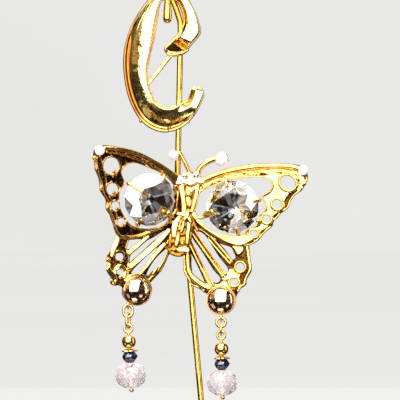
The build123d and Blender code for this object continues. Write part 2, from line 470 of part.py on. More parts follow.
def turned(profile):
    """body of revolution about the vertical axis from (radius, z) points"""
    return revolve(Plane.XZ * make_face(Polyline(*profile, close=True)), axis=Axis.Z)


DROP = {-1: dict(ring=(1.17, 0.87), link=1.43, turn=25, shift=0.0, tilt=3.0),
        1: dict(ring=(0.90, 0.90), link=1.10, turn=0, shift=0.15, tilt=1.5)}
names = {-1: "left", 1: "right"}
joints_out = []
for side in (-1, 1):
    nm = names[side]
    q = DROP[side]
    lx, lz = LUG[side]
    D = LUG_D[side]
    z1 = lz - LUG_R + LUG_W + RING_W + 0.04            # axis of the ring's top wire
    ring = Pos(*P(lx, z1, D)) * oval(q["ring"][0], q["ring"][1], RING_W)
    z2 = z1 - 2 * q["ring"][0] + RING_W + LINK_W + 0.04  # axis of the link's top wire
    link = Pos(*P(lx, z2, D)) * (Rot(0, 0, 90 - q["turn"]) * oval(q["link"], 0.72, LINK_W))
    z3 = z2 - 2 * q["link"] + 2 * LINK_W + 0.04          # axis of the eye's top wire
    eye = oval(EYE_R, EYE_R, LINK_W)
    zb = -2 * EYE_R - LINK_W                             # underside of the eye
    sh = q["shift"]
    g1 = zb - 0.06 - sh
    g0 = g1 - 2 * GOLD_R
    c1 = g0 - 0.05
    k1 = c1 - 0.30
    k0 = k1 - DARK_H
    p1 = k0 - 0.05
    p0 = p1 - PINK_H
    e1 = p0 - 0.05
    shaft = Pos(0, 0, e1 - BALL_R) * Cylinder(PIN_R, (-2 * EYE_R) - (e1 - BALL_R), align=(Align.CENTER, Align.CENTER, Align.MIN))
    ball = Pos(0, 0, e1 - BALL_R) * Sphere(BALL_R)
    pin = one(eye + shaft + ball)
    gr = [(HOLE_R, g0 + 0.05)]
    for i in range(1, 12):
        a = -90 + 180 * i / 12
        gr.append((GOLD_R * cos(radians(a)), (g0 + g1) / 2 + GOLD_R * sin(radians(a))))
    gr.append((HOLE_R, g1 - 0.05))
    gold = turned(gr)
    cap = turned([(HOLE_R, c1), (0.80, c1 - 0.02), (CAP_R, c1 - 0.50), (CAP_R - 0.06, c1 - 0.68), (0.75, c1 - 0.24), (HOLE_R, c1 - 0.24)])
    km = (k0 + k1) / 2
    dark = turned([(HOLE_R, k1), (0.55, k1), (DARK_R, km + 0.22), (DARK_R, km - 0.22), (0.75, k0), (HOLE_R, k0)])
    pm = (p0 + p1) / 2 + 0.1
    pink = turned([(HOLE_R, p1), (1.35, p1), (2.55, pm + 1.55), (PINK_R, pm + 0.45), (PINK_R, pm - 0.45), (2.55, pm - 1.6), (1.35, p0), (HOLE_R, p0)])
    loc = Pos(*P(lx, z3, D)) * Rot(0, -q["tilt"], 0)
    save(ring, f"{nm}_jump_ring")
    save(link, f"{nm}_oval_link")
    save(loc * pin, f"{nm}_head_pin")
    save(loc * gold, f"{nm}_gold_bead")
    save(loc * cap, f"{nm}_bead_cap")
    save(loc * dark, f"{nm}_dark_bead")
    save(loc * pink, f"{nm}_pink_bead")
    ax = loc.position
    print(nm, "lug", (lx, -D, lz), "J1", (lx, -D, z1), "J2", (lx, -D, z2), "J3", (lx, -D, z3), "spin dir", sin(radians(q["tilt"])), -cos(radians(q["tilt"])),
          "bottom", z3 + (e1 - 2 * BALL_R))

# ---------------------------------------------------------------- write the rest
save(stem, "pin_stem")
save(back_plate, "crescent_back_plate")
save(shell, "crescent_shell")
save(brace, "crescent_brace")
save(wing_lu, "left_upper_wing")
save(wing_ru, "right_upper_wing")
save(wing_ll, "left_lower_wing")
save(wing_rl, "right_lower_wing")
save(butterfly_body, "butterfly_body")
save(solder, "solder_joint")
save(thorax_bead, "thorax_bead")
save(abdomen_bead, "abdomen_bead")
save(ant_l, "left_antenna")
save(ant_r, "right_antenna")
save(cup_al, "left_antenna_cup")
save(cup_ar, "right_antenna_cup")
save(stone_al, "left_antenna_stone")
save(stone_ar, "right_antenna_stone")
save(tip_beads[-1], "left_wing_tip_bead")
save(tip_beads[1], "right_wing_tip_bead")
save(stones[-1], "left_crystal")
save(stones[1], "right_crystal")
save(settings[-1], "left_crystal_setting")
save(settings[1], "right_crystal_setting")
save(cups[-1], "left_dome_cup")
save(cups[1], "right_dome_cup")
save(domes[-1], "left_dome")
save(domes[1], "right_dome")
save(lugs[-1], "left_lug")
save(lugs[1], "right_lug")
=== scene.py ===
import bpy, bmesh, math
import numpy as np
from mathutils import Vector, Matrix, noise
from mathutils.geometry import tessellate_polygon


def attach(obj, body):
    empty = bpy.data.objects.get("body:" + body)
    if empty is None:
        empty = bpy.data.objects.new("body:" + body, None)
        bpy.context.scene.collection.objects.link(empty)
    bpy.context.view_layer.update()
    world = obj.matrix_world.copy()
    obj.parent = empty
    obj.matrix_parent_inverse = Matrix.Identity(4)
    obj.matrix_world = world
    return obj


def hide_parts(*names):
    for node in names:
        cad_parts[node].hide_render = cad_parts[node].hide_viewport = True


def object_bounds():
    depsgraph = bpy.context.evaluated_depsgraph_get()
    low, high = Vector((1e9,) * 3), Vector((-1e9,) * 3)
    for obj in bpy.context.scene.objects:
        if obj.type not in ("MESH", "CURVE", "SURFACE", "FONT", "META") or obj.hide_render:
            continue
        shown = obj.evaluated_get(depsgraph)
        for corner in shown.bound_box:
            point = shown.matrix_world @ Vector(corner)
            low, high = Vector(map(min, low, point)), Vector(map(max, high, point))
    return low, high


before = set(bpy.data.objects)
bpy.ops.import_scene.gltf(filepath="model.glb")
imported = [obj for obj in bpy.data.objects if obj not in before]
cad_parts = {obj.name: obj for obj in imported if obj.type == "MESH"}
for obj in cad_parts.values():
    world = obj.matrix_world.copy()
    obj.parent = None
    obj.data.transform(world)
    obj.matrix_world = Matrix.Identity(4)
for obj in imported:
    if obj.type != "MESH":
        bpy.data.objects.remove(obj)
CAD_BOX = [list(v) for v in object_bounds()]
SC = bpy.context.scene
COL = SC.collection
MM = 0.001

# Everything below is worked out in millimetres in the frame's own axes and scaled to metres when a piece is made.
# D is the distance in front of the stem's axis, so y = -D.


# ------------------------------------------------------------------ small helpers
def P(x, z, d):
    return Vector((x, -d, z))


def sm(a, b, x):
    t = min(1.0, max(0.0, (x - a) / (b - a)))
    return t * t * (3 - 2 * t)


def lerp(a, b, t):
    return a + (b - a) * t


def spline(pts, per=8, closed=False):
    """points on a Catmull-Rom curve through pts (tuples of any length)"""
    a = np.array(pts, float)
    n = len(a)
    out = []
    segs = n if closed else n - 1
    for i in range(segs):
        if closed:
            p0, p1, p2, p3 = a[(i - 1) % n], a[i], a[(i + 1) % n], a[(i + 2) % n]
        else:
            p1, p2 = a[i], a[i + 1]
            p0 = a[i - 1] if i > 0 else 2 * p1 - p2
            p3 = a[i + 2] if i + 2 < n else 2 * p2 - p1
        for k in range(per):
            t = k / per
            out.append(0.5 * ((2 * p1) + (p2 - p0) * t + (2 * p0 - 5 * p1 + 4 * p2 - p3) * t * t + (3 * p1 - p0 - 3 * p2 + p3) * t ** 3))
    if not closed:
        out.append(a[-1])
    return np.array(out)


def make(name, verts, faces, body, mats, replaces=(), smooth=True, mat_index=None, scale=MM):
    me = bpy.data.meshes.new(name)
    v = np.asarray(verts, float).reshape(-1, 3) * scale
    me.from_pydata(v.tolist(), [], [tuple(int(i) for i in f) for f in faces])
    me.validate()
    me.update()
    ob = bpy.data.objects.new(name, me)
    COL.objects.link(ob)
    mats = mats if isinstance(mats, (list, tuple)) else [mats]
    for m in mats:
        me.materials.append(m)
    if mat_index is not None:
        me.polygons.foreach_set("material_index", list(mat_index))
    me.polygons.foreach_set("use_smooth", [bool(smooth)] * len(me.polygons))
    me.update()
    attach(ob, body)
    if replaces:
        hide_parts(*replaces)
    return ob


def fix_normals(ob):
    bm = bmesh.new()
    bm.from_mesh(ob.data)
    bmesh.ops.recalc_face_normals(bm, faces=bm.faces)
    bm.to_mesh(ob.data)
    bm.free()


class Geo:
    """a growing list of vertices and faces"""

    def __init__(self):
        self.v, self.f, self.m = [], [], []

    def add(self, verts, faces, m=0):
        o = len(self.v)
        self.v += [tuple(p) for p in verts]
        self.f += [tuple(i + o for i in f) for f in faces]
        self.m += [m] * len(faces)

    def rings(self, rings, closed=False, cap0=True, cap1=True, m=0):
        """skin between rings of equal length"""
        n = len(rings[0])
        verts = [tuple(p) for r in rings for p in r]
        faces = []
        k = len(rings)
        for i in range(k if closed else k - 1):
            a, b = i * n, ((i + 1) % k) * n
            for j in range(n):
                j2 = (j + 1) % n
                faces.append((a + j, a + j2, b + j2, b + j))
        if not closed and cap0:
            c = np.mean(np.array([tuple(p) for p in rings[0]]), axis=0)
            verts.append(tuple(c))
            faces += [(len(verts) - 1, (j + 1) % n, j) for j in range(n)]
        if not closed and cap1:
            c = np.mean(np.array([tuple(p) for p in rings[-1]]), axis=0)
            verts.append(tuple(c))
            o = (k - 1) * n
            faces += [(len(verts) - 1, o + j, o + (j + 1) % n) for j in range(n)]
        self.add(verts, faces, m)

    def tube(self, pts, rad, seg=16, closed=False, up=(0, -1, 0), m=0, dome=True):
        """round or oval tube. pts: Vectors; rad: number, list of numbers, or list of (across, along up)"""
        p = [Vector(q) for q in pts]
        n = len(p)
        if not isinstance(rad, (list, tuple, np.ndarray)):
            rad = [rad] * n
        rr = [(r, r) if not isinstance(r, (list, tuple, np.ndarray)) else (r[0], r[1]) for r in rad]
        rings = []
        u = Vector(up).normalized()
        tprev = None
        for i in range(n):
            if closed:
                t = (p[(i + 1) % n] - p[i - 1]).normalized()
            else:
                t = (p[min(i + 1, n - 1)] - p[max(i - 1, 0)]).normalized()
            if tprev is not None:
                q = tprev.rotation_difference(t)
                u = q @ u
            u = (u - t * u.dot(t)).normalized()
            s = t.cross(u)
            tprev = t
            a, b = rr[i]
            rings.append([p[i] + s * (a * math.cos(2 * math.pi * j / seg)) + u * (b * math.sin(2 * math.pi * j / seg)) for j in range(seg)])
            if dome and not closed and i in (0, n - 1):
                extra = []
                for k in (0.35, 0.7, 0.92):
                    f = math.sqrt(1 - k * k)
                    e = min(a, b) * k
                    sgn = -1 if i == 0 else 1
                    extra.append([p[i] + t * (sgn * e) + s * (a * f * math.cos(2 * math.pi * j / seg)) + u * (b * f * math.sin(2 * math.pi * j / seg)) for j in range(seg)])
                if i == 0:
                    rings = extra[::-1] + rings
                else:
                    rings += extra
        self.rings(rings, closed=closed, m=m)

    def lathe(self, prof, mat, seg=64, m=0, closed_profile=True, wob=None):
        """turn a (radius, height) profile about an axis; mat places it. Points with radius 0 close it."""
        rings = []
        for k, (r, h) in enumerate(prof):
            ring = []
            for j in range(seg):
                a = 2 * math.pi * j / seg
                rj = max(r, 0.0 if closed_profile else 0.012) * (1 + (wob(a, k) if wob else 0))
                ring.append(mat @ Vector((rj * math.cos(a), rj * math.sin(a), h)))
            rings.append(ring)
        if closed_profile:
            self.rings(rings, closed=True, m=m)
        else:
            self.rings(rings, m=m)


def frame_mat(origin, z, x=(1, 0, 0)):
    z = Vector(z).normalized()
    x = Vector(x)
    x = (x - z * x.dot(z)).normalized()
    y = z.cross(x)
    return Matrix(((x.x, y.x, z.x, origin[0]), (x.y, y.y, z.y, origin[1]), (x.z, y.z, z.z, origin[2]), (0, 0, 0, 1)))


# ------------------------------------------------------------------ distance fields for the cast metal
def seg_dist(X, Z, pts, closed=False):
    """2D distance to a polyline; returns distance, and the index with fraction of the nearest point"""
    p = np.array(pts, float)
    n = len(p)
    best = np.full(X.shape, 1e9)
    at = np.zeros(X.shape)
    for i in range(n if closed else n - 1):
        a, b = p[i], p[(i + 1) % n]
        d = b - a
        L = max(1e-12, float(d[0] ** 2 + d[1] ** 2))
        t = np.clip(((X - a[0]) * d[0] + (Z - a[1]) * d[1]) / L, 0, 1)
        q = (X - a[0] - t * d[0]) ** 2 + (Z - a[1] - t * d[1]) ** 2
        w = q < best
        best = np.where(w, q, best)
        at = np.where(w, i + t, at)
    return np.sqrt(best), at


def poly_sd(X, Z, pts):
    """signed distance to a closed outline, negative inside"""
    d, _ = seg_dist(X, Z, pts, closed=True)
    p = np.array(pts, float)
    n = len(p)
    ins = np.zeros(X.shape, bool)
    for i in range(n):
        x0, z0 = p[i]
        x1, z1 = p[(i + 1) % n]
        if z0 == z1:
            continue
        c = ((z0 > Z) != (z1 > Z)) & (X < (x1 - x0) * (Z - z0) / (z1 - z0) + x0)
        ins ^= c
    return np.where(ins, -d, d)


def smin(a, b, k):
    h = np.clip(0.5 + 0.5 * (b - a) / k, 0, 1)
    return b + (a - b) * h - k * h * (1 - h)


def smax(a, b, k):
    return -smin(-a, -b, k)


def hill(X, Z, sc, seed=0.0):
    """smooth cheap 2D noise from -1 to 1, the same every time"""
    rng = np.random.RandomState(int(seed * 1000) + 7)
    out = np.zeros(X.shape)
    for i in range(9):
        a = rng.rand() * 6.283
        f = (0.6 + 0.9 * rng.rand()) * 6.283 / sc
        out += np.sin((X * math.cos(a) + Z * math.sin(a)) * f + rng.rand() * 6.283)
    return out / 4.0


def whole(v, q, least=120):
    """leaves out crumbs: patches of surface that are not joined to the casting"""
    e = np.concatenate([q[:, [0, 1]], q[:, [1, 2]], q[:, [2, 3]], q[:, [3, 0]]])
    lab = np.arange(len(v))
    while True:
        new = lab.copy()
        np.minimum.at(new, e[:, 0], lab[e[:, 1]])
        np.minimum.at(new, e[:, 1], lab[e[:, 0]])
        new = new[new]
        if (new == lab).all():
            break
        lab = new
    n = np.bincount(lab, minlength=len(v))
    good = n[lab] >= least
    idx = np.cumsum(good) - 1
    return v[good], idx[q[good[q[:, 0]]]]


def nets(F, org, h):
    """surface nets of a field sampled on a grid (negative inside); returns verts, quads"""
    nx, ny, nz = F.shape
    S = F < 0
    cnt = np.zeros((nx - 1, ny - 1, nz - 1), np.int8)
    for i in (0, 1):
        for j in (0, 1):
            for k in (0, 1):
                cnt += S[i:nx - 1 + i, j:ny - 1 + j, k:nz - 1 + k]
    mixed = (cnt > 0) & (cnt < 8)
    idx = np.full(mixed.shape, -1, np.int64)
    cells = np.argwhere(mixed)
    idx[mixed] = np.arange(len(cells))
    acc = np.zeros((len(cells), 3))
    num = np.zeros(len(cells))
    ci, cj, ck = cells[:, 0], cells[:, 1], cells[:, 2]
    for ax in range(3):
        for o1 in (0, 1):
            for o2 in (0, 1):
                off = [0, 0, 0]
                oth = [q for q in range(3) if q != ax]
                off[oth[0]], off[oth[1]] = o1, o2
                a = F[ci + off[0], cj + off[1], ck + off[2]]
                e = list(off)
                e[ax] += 1
                b = F[ci + e[0], cj + e[1], ck + e[2]]
                cr = (a < 0) != (b < 0)
                t = np.where(cr, a / np.where(cr, a - b, 1), 0)
                pos = np.tile(np.array(off, float), (len(cells), 1))
                pos[:, ax] += t
                acc[cr] += pos[cr]
                num[cr] += 1
    v = cells + acc / num[:, None]
    v = v * h + np.array(org)
    quads = []
    for ax in range(3):
        o = [q for q in range(3) if q != ax]
        sl0 = [slice(1, -1)] * 3
        sl0[ax] = slice(0, -1)
        sl1 = [slice(1, -1)] * 3
        sl1[ax] = slice(1, None)
        a, b = S[tuple(sl0)], S[tuple(sl1)]
        cr = np.argwhere(a != b)
        if not len(cr):
            continue
        flip = a[tuple(cr.T)]
        g = cr.copy()
        for q in o:
            g[:, q] += 1
        c = []
        for (i, j) in ((0, 0), (1, 0), (1, 1), (0, 1)):
            k = g.copy()
            k[:, o[0]] -= i
            k[:, o[1]] -= j
            c.append(idx[k[:, 0], k[:, 1], k[:, 2]])
        c = np.stack(c, 1)
        if ax == 1:
            flip = ~flip
        c = np.where(flip[:, None], c, c[:, ::-1])
        quads.append(c)
    return v, np.concatenate(quads)


def relax(v, q, it=2, f=0.5):
    n = len(v)
    e = np.concatenate([q[:, [0, 1]], q[:, [1, 2]], q[:, [2, 3]], q[:, [3, 0]]])
    deg = np.bincount(np.concatenate([e[:, 0], e[:, 1]]), minlength=n)[:, None]
    for _ in range(it):
        s = np.zeros_like(v)
        for c in range(3):
            s[:, c] = np.bincount(e[:, 0], weights=v[e[:, 1], c], minlength=n) + np.bincount(e[:, 1], weights=v[e[:, 0], c], minlength=n)
        v = v * (1 - f) + (s / np.maximum(deg, 1)) * f
    return v


class Cast:
    """a cast piece in a flat frame: x, z in the picture plane and d the height over the back plane"""

    def __init__(self, x0, x1, z0, z1, d0, d1, h):
        self.h = h
        self.org = (x0, d0, z0)
        nx, ny, nz = int((x1 - x0) / h) + 2, int((d1 - d0) / h) + 2, int((z1 - z0) / h) + 2
        x = x0 + np.arange(nx) * h
        z = z0 + np.arange(nz) * h
        self.d = d0 + np.arange(ny) * h
        self.X, self.Z = np.meshgrid(x, z, indexing="ij")
        self.F = np.full((nx, ny, nz), 9.0)

    def union(self, G, k=0.10):
        self.F = smin(self.F, G, k)

    def slab(self, sd, lo, hi, rnd=0.10, k=0.10):
        """the region sd < 0 between heights lo and hi (numbers or maps), edges rounded"""
        lo = lo if isinstance(lo, np.ndarray) else np.full(self.X.shape, float(lo))
        hi = hi if isinstance(hi, np.ndarray) else np.full(self.X.shape, float(hi))
        D = self.d[None, :, None]
        y = np.maximum(lo[:, None, :] - D, D - hi[:, None, :])
        s = np.broadcast_to(sd[:, None, :], y.shape)
        self.union(smax(s, y, rnd), k)

    def bar(self, pts, half, high, depth, k=0.10, per=6, closed=False, smooth=True):
        """rounded bar along a polyline; half: half width(s), high: half height(s), depth: height of its middle"""
        m = len(pts)

        def lst(a):
            return list(a) if isinstance(a, (list, tuple)) else [a] * m
        half, high, depth = lst(half), lst(high), lst(depth)
        rows = [(p[0], p[1], a, b, c) for p, a, b, c in zip(pts, half, high, depth)]
        s = spline(rows, per, closed) if smooth else np.array(rows, float)
        d2, at = seg_dist(self.X, self.Z, s[:, :2], closed)
        if closed:
            s = np.vstack([s, s[:1]])
        i0 = np.clip(np.floor(at).astype(int), 0, len(s) - 2)
        fr = at - i0
        A = s[i0, 2] * (1 - fr) + s[i0 + 1, 2] * fr
        B = s[i0, 3] * (1 - fr) + s[i0 + 1, 3] * fr
        C = s[i0, 4] * (1 - fr) + s[i0 + 1, 4] * fr
        near = d2 < A + 1.0
        D = self.d[None, :, None]
        q = np.sqrt((d2 / A)[:, None, :] ** 2 + ((D - C[:, None, :]) / B[:, None, :]) ** 2)
        G = (q - 1) * np.minimum(A, B)[:, None, :]
        G = np.where(near[:, None, :], G, 9.0)
        self.union(G, k)

    def ball(self, x, z, d, r, k=0.08, rz=None, rd=None):
        rz, rd = rz or r, rd or r
        D = self.d[None, :, None]
        q = np.sqrt((((self.X - x) / r) ** 2 + ((self.Z - z) / rz) ** 2)[:, None, :] + ((D - d) / rd) ** 2)
        self.union((q - 1) * min(r, rz, rd), k)

    def cut(self, sd, k=0.06):
        """remove the region sd < 0 right through"""
        self.F = smax(self.F, -np.broadcast_to(sd[:, None, :], self.F.shape), k)

    def keep(self, sd, k=0.05):
        self.F = smax(self.F, np.broadcast_to(sd[:, None, :], self.F.shape), k)

    def strip(self, pts, half, lo, hi, rnd=0.14, k=0.06, per=6, lean=(0.0, 0.0)):
        """flat-topped bar along a polyline"""
        m = len(pts)
        half = list(half) if isinstance(half, (list, tuple)) else [half] * m
        s = spline([(p[0], p[1], a) for p, a in zip(pts, half)], per)
        d2, at = seg_dist(self.X, self.Z, s[:, :2])
        i0 = np.clip(np.floor(at).astype(int), 0, len(s) - 2)
        fr = at - i0
        qx = s[i0, 0] * (1 - fr) + s[i0 + 1, 0] * fr
        qz = s[i0, 1] * (1 - fr) + s[i0 + 1, 1] * fr
        top = hi + np.clip(lean[0] * (self.X - qx) + lean[1] * (self.Z - qz), -0.4, 0.4)
        self.slab(d2 - (s[i0, 2] * (1 - fr) + s[i0 + 1, 2] * fr), lo, top, rnd, k)

    def mesh(self, depth_fn, it=2, low=0.0):
        v, q = whole(*nets(self.F, self.org, self.h))
        v = relax(v, q, it)
        hq = v[q, 1].mean(axis=1)
        # low faces are marked for a darker material: painted shade in the recesses
        self.recess = ((hq > 0.10) & (hq < low)).astype(int)
        out = np.empty_like(v)
        out[:, 0] = v[:, 0]
        out[:, 2] = v[:, 2]
        out[:, 1] = -(depth_fn(v[:, 0], v[:, 2]) + v[:, 1])
        return out, q


def ell_sd(X, Z, c, rx, rz, rot):
    a = math.radians(rot)
    u = (X - c[0]) * math.cos(a) + (Z - c[1]) * math.sin(a)
    w = -(X - c[0]) * math.sin(a) + (Z - c[1]) * math.cos(a)
    return (np.sqrt((u / rx) ** 2 + (w / rz) ** 2) - 1) * min(rx, rz)


def ell_pts(c, rx, rz, rot, grow=0.0, n=24):
    a = math.radians(rot)
    out = []
    for i in range(n):
        t = 2 * math.pi * i / n
        u, w = (rx + grow) * math.cos(t), (rz + grow) * math.sin(t)
        out.append((c[0] + u * math.cos(a) - w * math.sin(a), c[1] + u * math.sin(a) + w * math.cos(a)))
    return out


# ------------------------------------------------------------------ materials
def node_mat(name):
    m = bpy.data.materials.new(name)
    m.use_nodes = True
    nt = m.node_tree
    nt.nodes.clear()
    out = nt.nodes.new("ShaderNodeOutputMaterial")
    b = nt.nodes.new("ShaderNodeBsdfPrincipled")
    nt.links.new(b.outputs[0], out.inputs[0])
    return m, nt, b


def tex_noise(nt, scale, detail=3.0, rough=0.55, vec=None, dist=0.0):
    n = nt.nodes.new("ShaderNodeTexNoise")
    n.inputs["Scale"].default_value = scale
    n.inputs["Detail"].default_value = detail
    n.inputs["Roughness"].default_value = rough
    n.inputs["Distortion"].default_value = dist
    if vec is not None:
        nt.links.new(vec, n.inputs["Vector"])
    return n


def ramp(nt, src, stops, interp="LINEAR"):
    r = nt.nodes.new("ShaderNodeValToRGB")
    r.color_ramp.interpolation = interp
    e = r.color_ramp.elements
    while len(e) > 1:
        e.remove(e[-1])
    e[0].position = stops[0][0]
    e[0].color = (*stops[0][1], 1) if len(stops[0][1]) == 3 else stops[0][1]
    for p, c in stops[1:]:
        k = e.new(p)
        k.color = (*c, 1)
    nt.links.new(src, r.inputs[0])
    return r


def g3(v):
    return (v, v, v)


def metal(name, bright, deep, rough=(0.10, 0.24), grain=900, lump=220, bump=0.10, bump_mm=0.02, lump_mm=0.0, cavity=True, cav=(0.22, 0.10, 0.02), painted_shade_zone=None):
    """plated metal: colour drifts between two tones, recesses darken with painted shade, fine pits and a slow waviness
    """
    m, nt, b = node_mat(name)
    co = nt.nodes.new("ShaderNodeTexCoord").outputs["Object"]
    n1 = tex_noise(nt, lump, 4, 0.6, co)
    r1 = ramp(nt, n1.outputs["Fac"], [(0.33, deep), (0.62, bright)])
    col = r1.outputs["Color"]
    # painted shade: pointiness darkens the colour in creases and hollows
    if cavity:
        geo = nt.nodes.new("ShaderNodeNewGeometry")
        rc = ramp(nt, geo.outputs["Pointiness"], [(0.42, cav), (0.495, (1, 1, 1))])
        mul = nt.nodes.new("ShaderNodeMix")
        mul.data_type = "RGBA"
        mul.blend_type = "MULTIPLY"
        mul.inputs[0].default_value = 0.85
        nt.links.new(col, mul.inputs[6])
        nt.links.new(rc.outputs["Color"], mul.inputs[7])
        col = mul.outputs[2]
    if painted_shade_zone:
        # painted shade: the colour is darkened on the side away from the opening, above the bowl
        sep = nt.nodes.new("ShaderNodeSeparateXYZ")
        nt.links.new(co, sep.inputs[0])
        fac = None
        for axis, lo, hi in (("X", painted_shade_zone[0], painted_shade_zone[1]), ("Z", painted_shade_zone[2], painted_shade_zone[3])):
            mr = nt.nodes.new("ShaderNodeMapRange")
            mr.inputs["From Min"].default_value = lo * MM
            mr.inputs["From Max"].default_value = hi * MM
            nt.links.new(sep.outputs[axis], mr.inputs["Value"])
            if fac is None:
                fac = mr.outputs[0]
            else:
                mm = nt.nodes.new("ShaderNodeMath")
                mm.operation = "MULTIPLY"
                nt.links.new(fac, mm.inputs[0])
                nt.links.new(mr.outputs[0], mm.inputs[1])
                fac = mm.outputs[0]
        mul = nt.nodes.new("ShaderNodeMix")
        mul.data_type = "RGBA"
        mul.blend_type = "MULTIPLY"
        nt.links.new(fac, mul.inputs[0])
        nt.links.new(col, mul.inputs[6])
        mul.inputs[7].default_value = (*painted_shade_zone[4], 1)
        col = mul.outputs[2]
    nt.links.new(col, b.inputs["Base Color"])
    b.inputs["Metallic"].default_value = 1.0
    n2 = tex_noise(nt, grain, 3, 0.6, co)
    rr = ramp(nt, n2.outputs["Fac"], [(0.3, g3(rough[0])), (0.75, g3(rough[1]))])
    nt.links.new(rr.outputs["Color"], b.inputs["Roughness"])
    bp = nt.nodes.new("ShaderNodeBump")
    bp.inputs["Strength"].default_value = bump
    bp.inputs["Distance"].default_value = bump_mm * MM
    nt.links.new(n2.outputs["Fac"], bp.inputs["Height"])
    last = bp
    if lump_mm > 0:
        n3 = tex_noise(nt, lump * 2.2, 3, 0.6, co, 0.4)
        b2 = nt.nodes.new("ShaderNodeBump")
        b2.inputs["Strength"].default_value = 1.0
        b2.inputs["Distance"].default_value = lump_mm * MM
        nt.links.new(n3.outputs["Fac"], b2.inputs["Height"])
        nt.links.new(bp.outputs[0], b2.inputs["Normal"])
        last = b2
    nt.links.new(last.outputs[0], b.inputs["Normal"])
    return m


def glass(name, tint, deep=None, ior=1.55, rough=0.0, var=300, coat=0.0, trans=1.0, painted_streaks=None):
    m, nt, b = node_mat(name)
    co = nt.nodes.new("ShaderNodeTexCoord").outputs["Object"]
    n1 = tex_noise(nt, var, 2, 0.5, co)
    stops = [(0.35, tint), (0.65, deep or tint)]
    if painted_streaks:
        # painted shade: a few darker streaks running down the glass stand in for dark surroundings seen through it
        mp = nt.nodes.new("ShaderNodeMapping")
        mp.inputs["Scale"].default_value = (1.0, 1.0, 0.28)
        nt.links.new(co, mp.inputs["Vector"])
        n1 = tex_noise(nt, 620, 2, 0.5, mp.outputs[0], 0.6)
        stops = [(0.36, painted_streaks), (0.425, tint), (0.75, deep or tint)]
    r1 = ramp(nt, n1.outputs["Fac"], stops)
    nt.links.new(r1.outputs["Color"], b.inputs["Base Color"])
    b.inputs["Transmission Weight"].default_value = trans
    b.inputs["IOR"].default_value = ior
    b.inputs["Coat Weight"].default_value = coat
    n2 = tex_noise(nt, 2500, 2, 0.5, co)
    rr = ramp(nt, n2.outputs["Fac"], [(0.55, g3(rough)), (0.8, g3(rough + 0.02))])
    nt.links.new(rr.outputs["Color"], b.inputs["Roughness"])
    return m


GOLD_B, GOLD_D = (1.0, 0.72, 0.25), (0.80, 0.45, 0.09)
M = {}
M["plate"] = metal("gold_plate_cast", GOLD_B, GOLD_D, (0.10, 0.26), 1400, 330, 0.16, 0.02)
# a darker copy of the plate gold for the left upper wing: painted shade
M["plate_left"] = metal("gold_plate_cast_painted_shade", (0.96, 0.62, 0.20), (0.66, 0.33, 0.06), (0.12, 0.30), 1400, 330, 0.2, 0.02)
M["scroll"] = metal("scroll_gold_polished", (1.0, 0.78, 0.33), (0.82, 0.58, 0.20), (0.13, 0.22), 1100, 260, 0.04, 0.012, 0.0025, cavity=False)
# the edge gold carries a patch of painted shade above the bowl
M["scroll_edge"] = metal("scroll_gold_edge", (1.0, 0.70, 0.24), (0.75, 0.42, 0.10), (0.10, 0.25), 1100, 300, 0.1, 0.015, cavity=False, painted_shade_zone=(-11.8, -13.2, 59.5, 62.5, (0.42, 0.30, 0.20)))
# pale gold for the head top: painted highlight
M["plate_pale"] = metal("gold_plate_painted_highlight", (1.0, 0.93, 0.76), (0.98, 0.84, 0.56), (0.26, 0.40), 1400, 330, 0.16, 0.02, cavity=False)
M["hollow"] = metal("gold_in_shadow", (0.016, 0.007, 0.002), (0.006, 0.003, 0.001), (0.3, 0.5), 900, 500, 0.5, 0.04, cavity=False)
# dark golds for the low faces of the wing castings: painted shade in the recesses
M["recess"] = metal("gold_recess_painted_shade", (0.13, 0.055, 0.012), (0.02, 0.008, 0.002), (0.20, 0.42), 1100, 520, 0.5, 0.04, cavity=False)
M["recess_left"] = metal("gold_recess_painted_shade_deep", (0.085, 0.036, 0.009), (0.012, 0.005, 0.002), (0.22, 0.42), 1100, 520, 0.5, 0.04, cavity=False)
# darker warm gold for the low faces of the body: painted shade
M["recess_warm"] = metal("gold_recess_painted_shade_warm", (0.50, 0.24, 0.03), (0.12, 0.045, 0.006), (0.18, 0.36), 1100, 620, 0.4, 0.03, cavity=False)
M["pin"] = metal("pin_wire_gold", (1.0, 0.62, 0.14), (0.82, 0.40, 0.06), (0.12, 0.22), 1500, 160, 0.05, 0.010, 0.0, cavity=False)
M["chain"] = metal("chain_gold", (1.0, 0.72, 0.30), (0.80, 0.46, 0.14), (0.12, 0.26), 1500, 500, 0.15, 0.015, cavity=False)
M["bead_gold"] = metal("bead_gold", (1.0, 0.66, 0.22), (0.72, 0.38, 0.08), (0.10, 0.22), 1500, 600, 0.15, 0.02, cavity=False)
M["cap_gold"] = metal("cap_gold_dark", (0.85, 0.55, 0.18), (0.45, 0.22, 0.04), (0.16, 0.34), 1500, 700, 0.3, 0.02, cavity=False)
M["dome"] = metal("bronze_dome_mirror", (0.95, 0.72, 0.50), (0.74, 0.48, 0.34), (0.07, 0.16), 1400, 330, 0.08, 0.01, 0.004, cavity=False)
M["cup"] = metal("dome_cup_gold", (0.98, 0.66, 0.30), (0.62, 0.34, 0.14), (0.10, 0.26), 1500, 500, 0.2, 0.02, cavity=False)
M["crystal"] = glass("crystal_clear", (1.0, 1.0, 1.0), (0.95, 0.96, 1.0), 1.65)
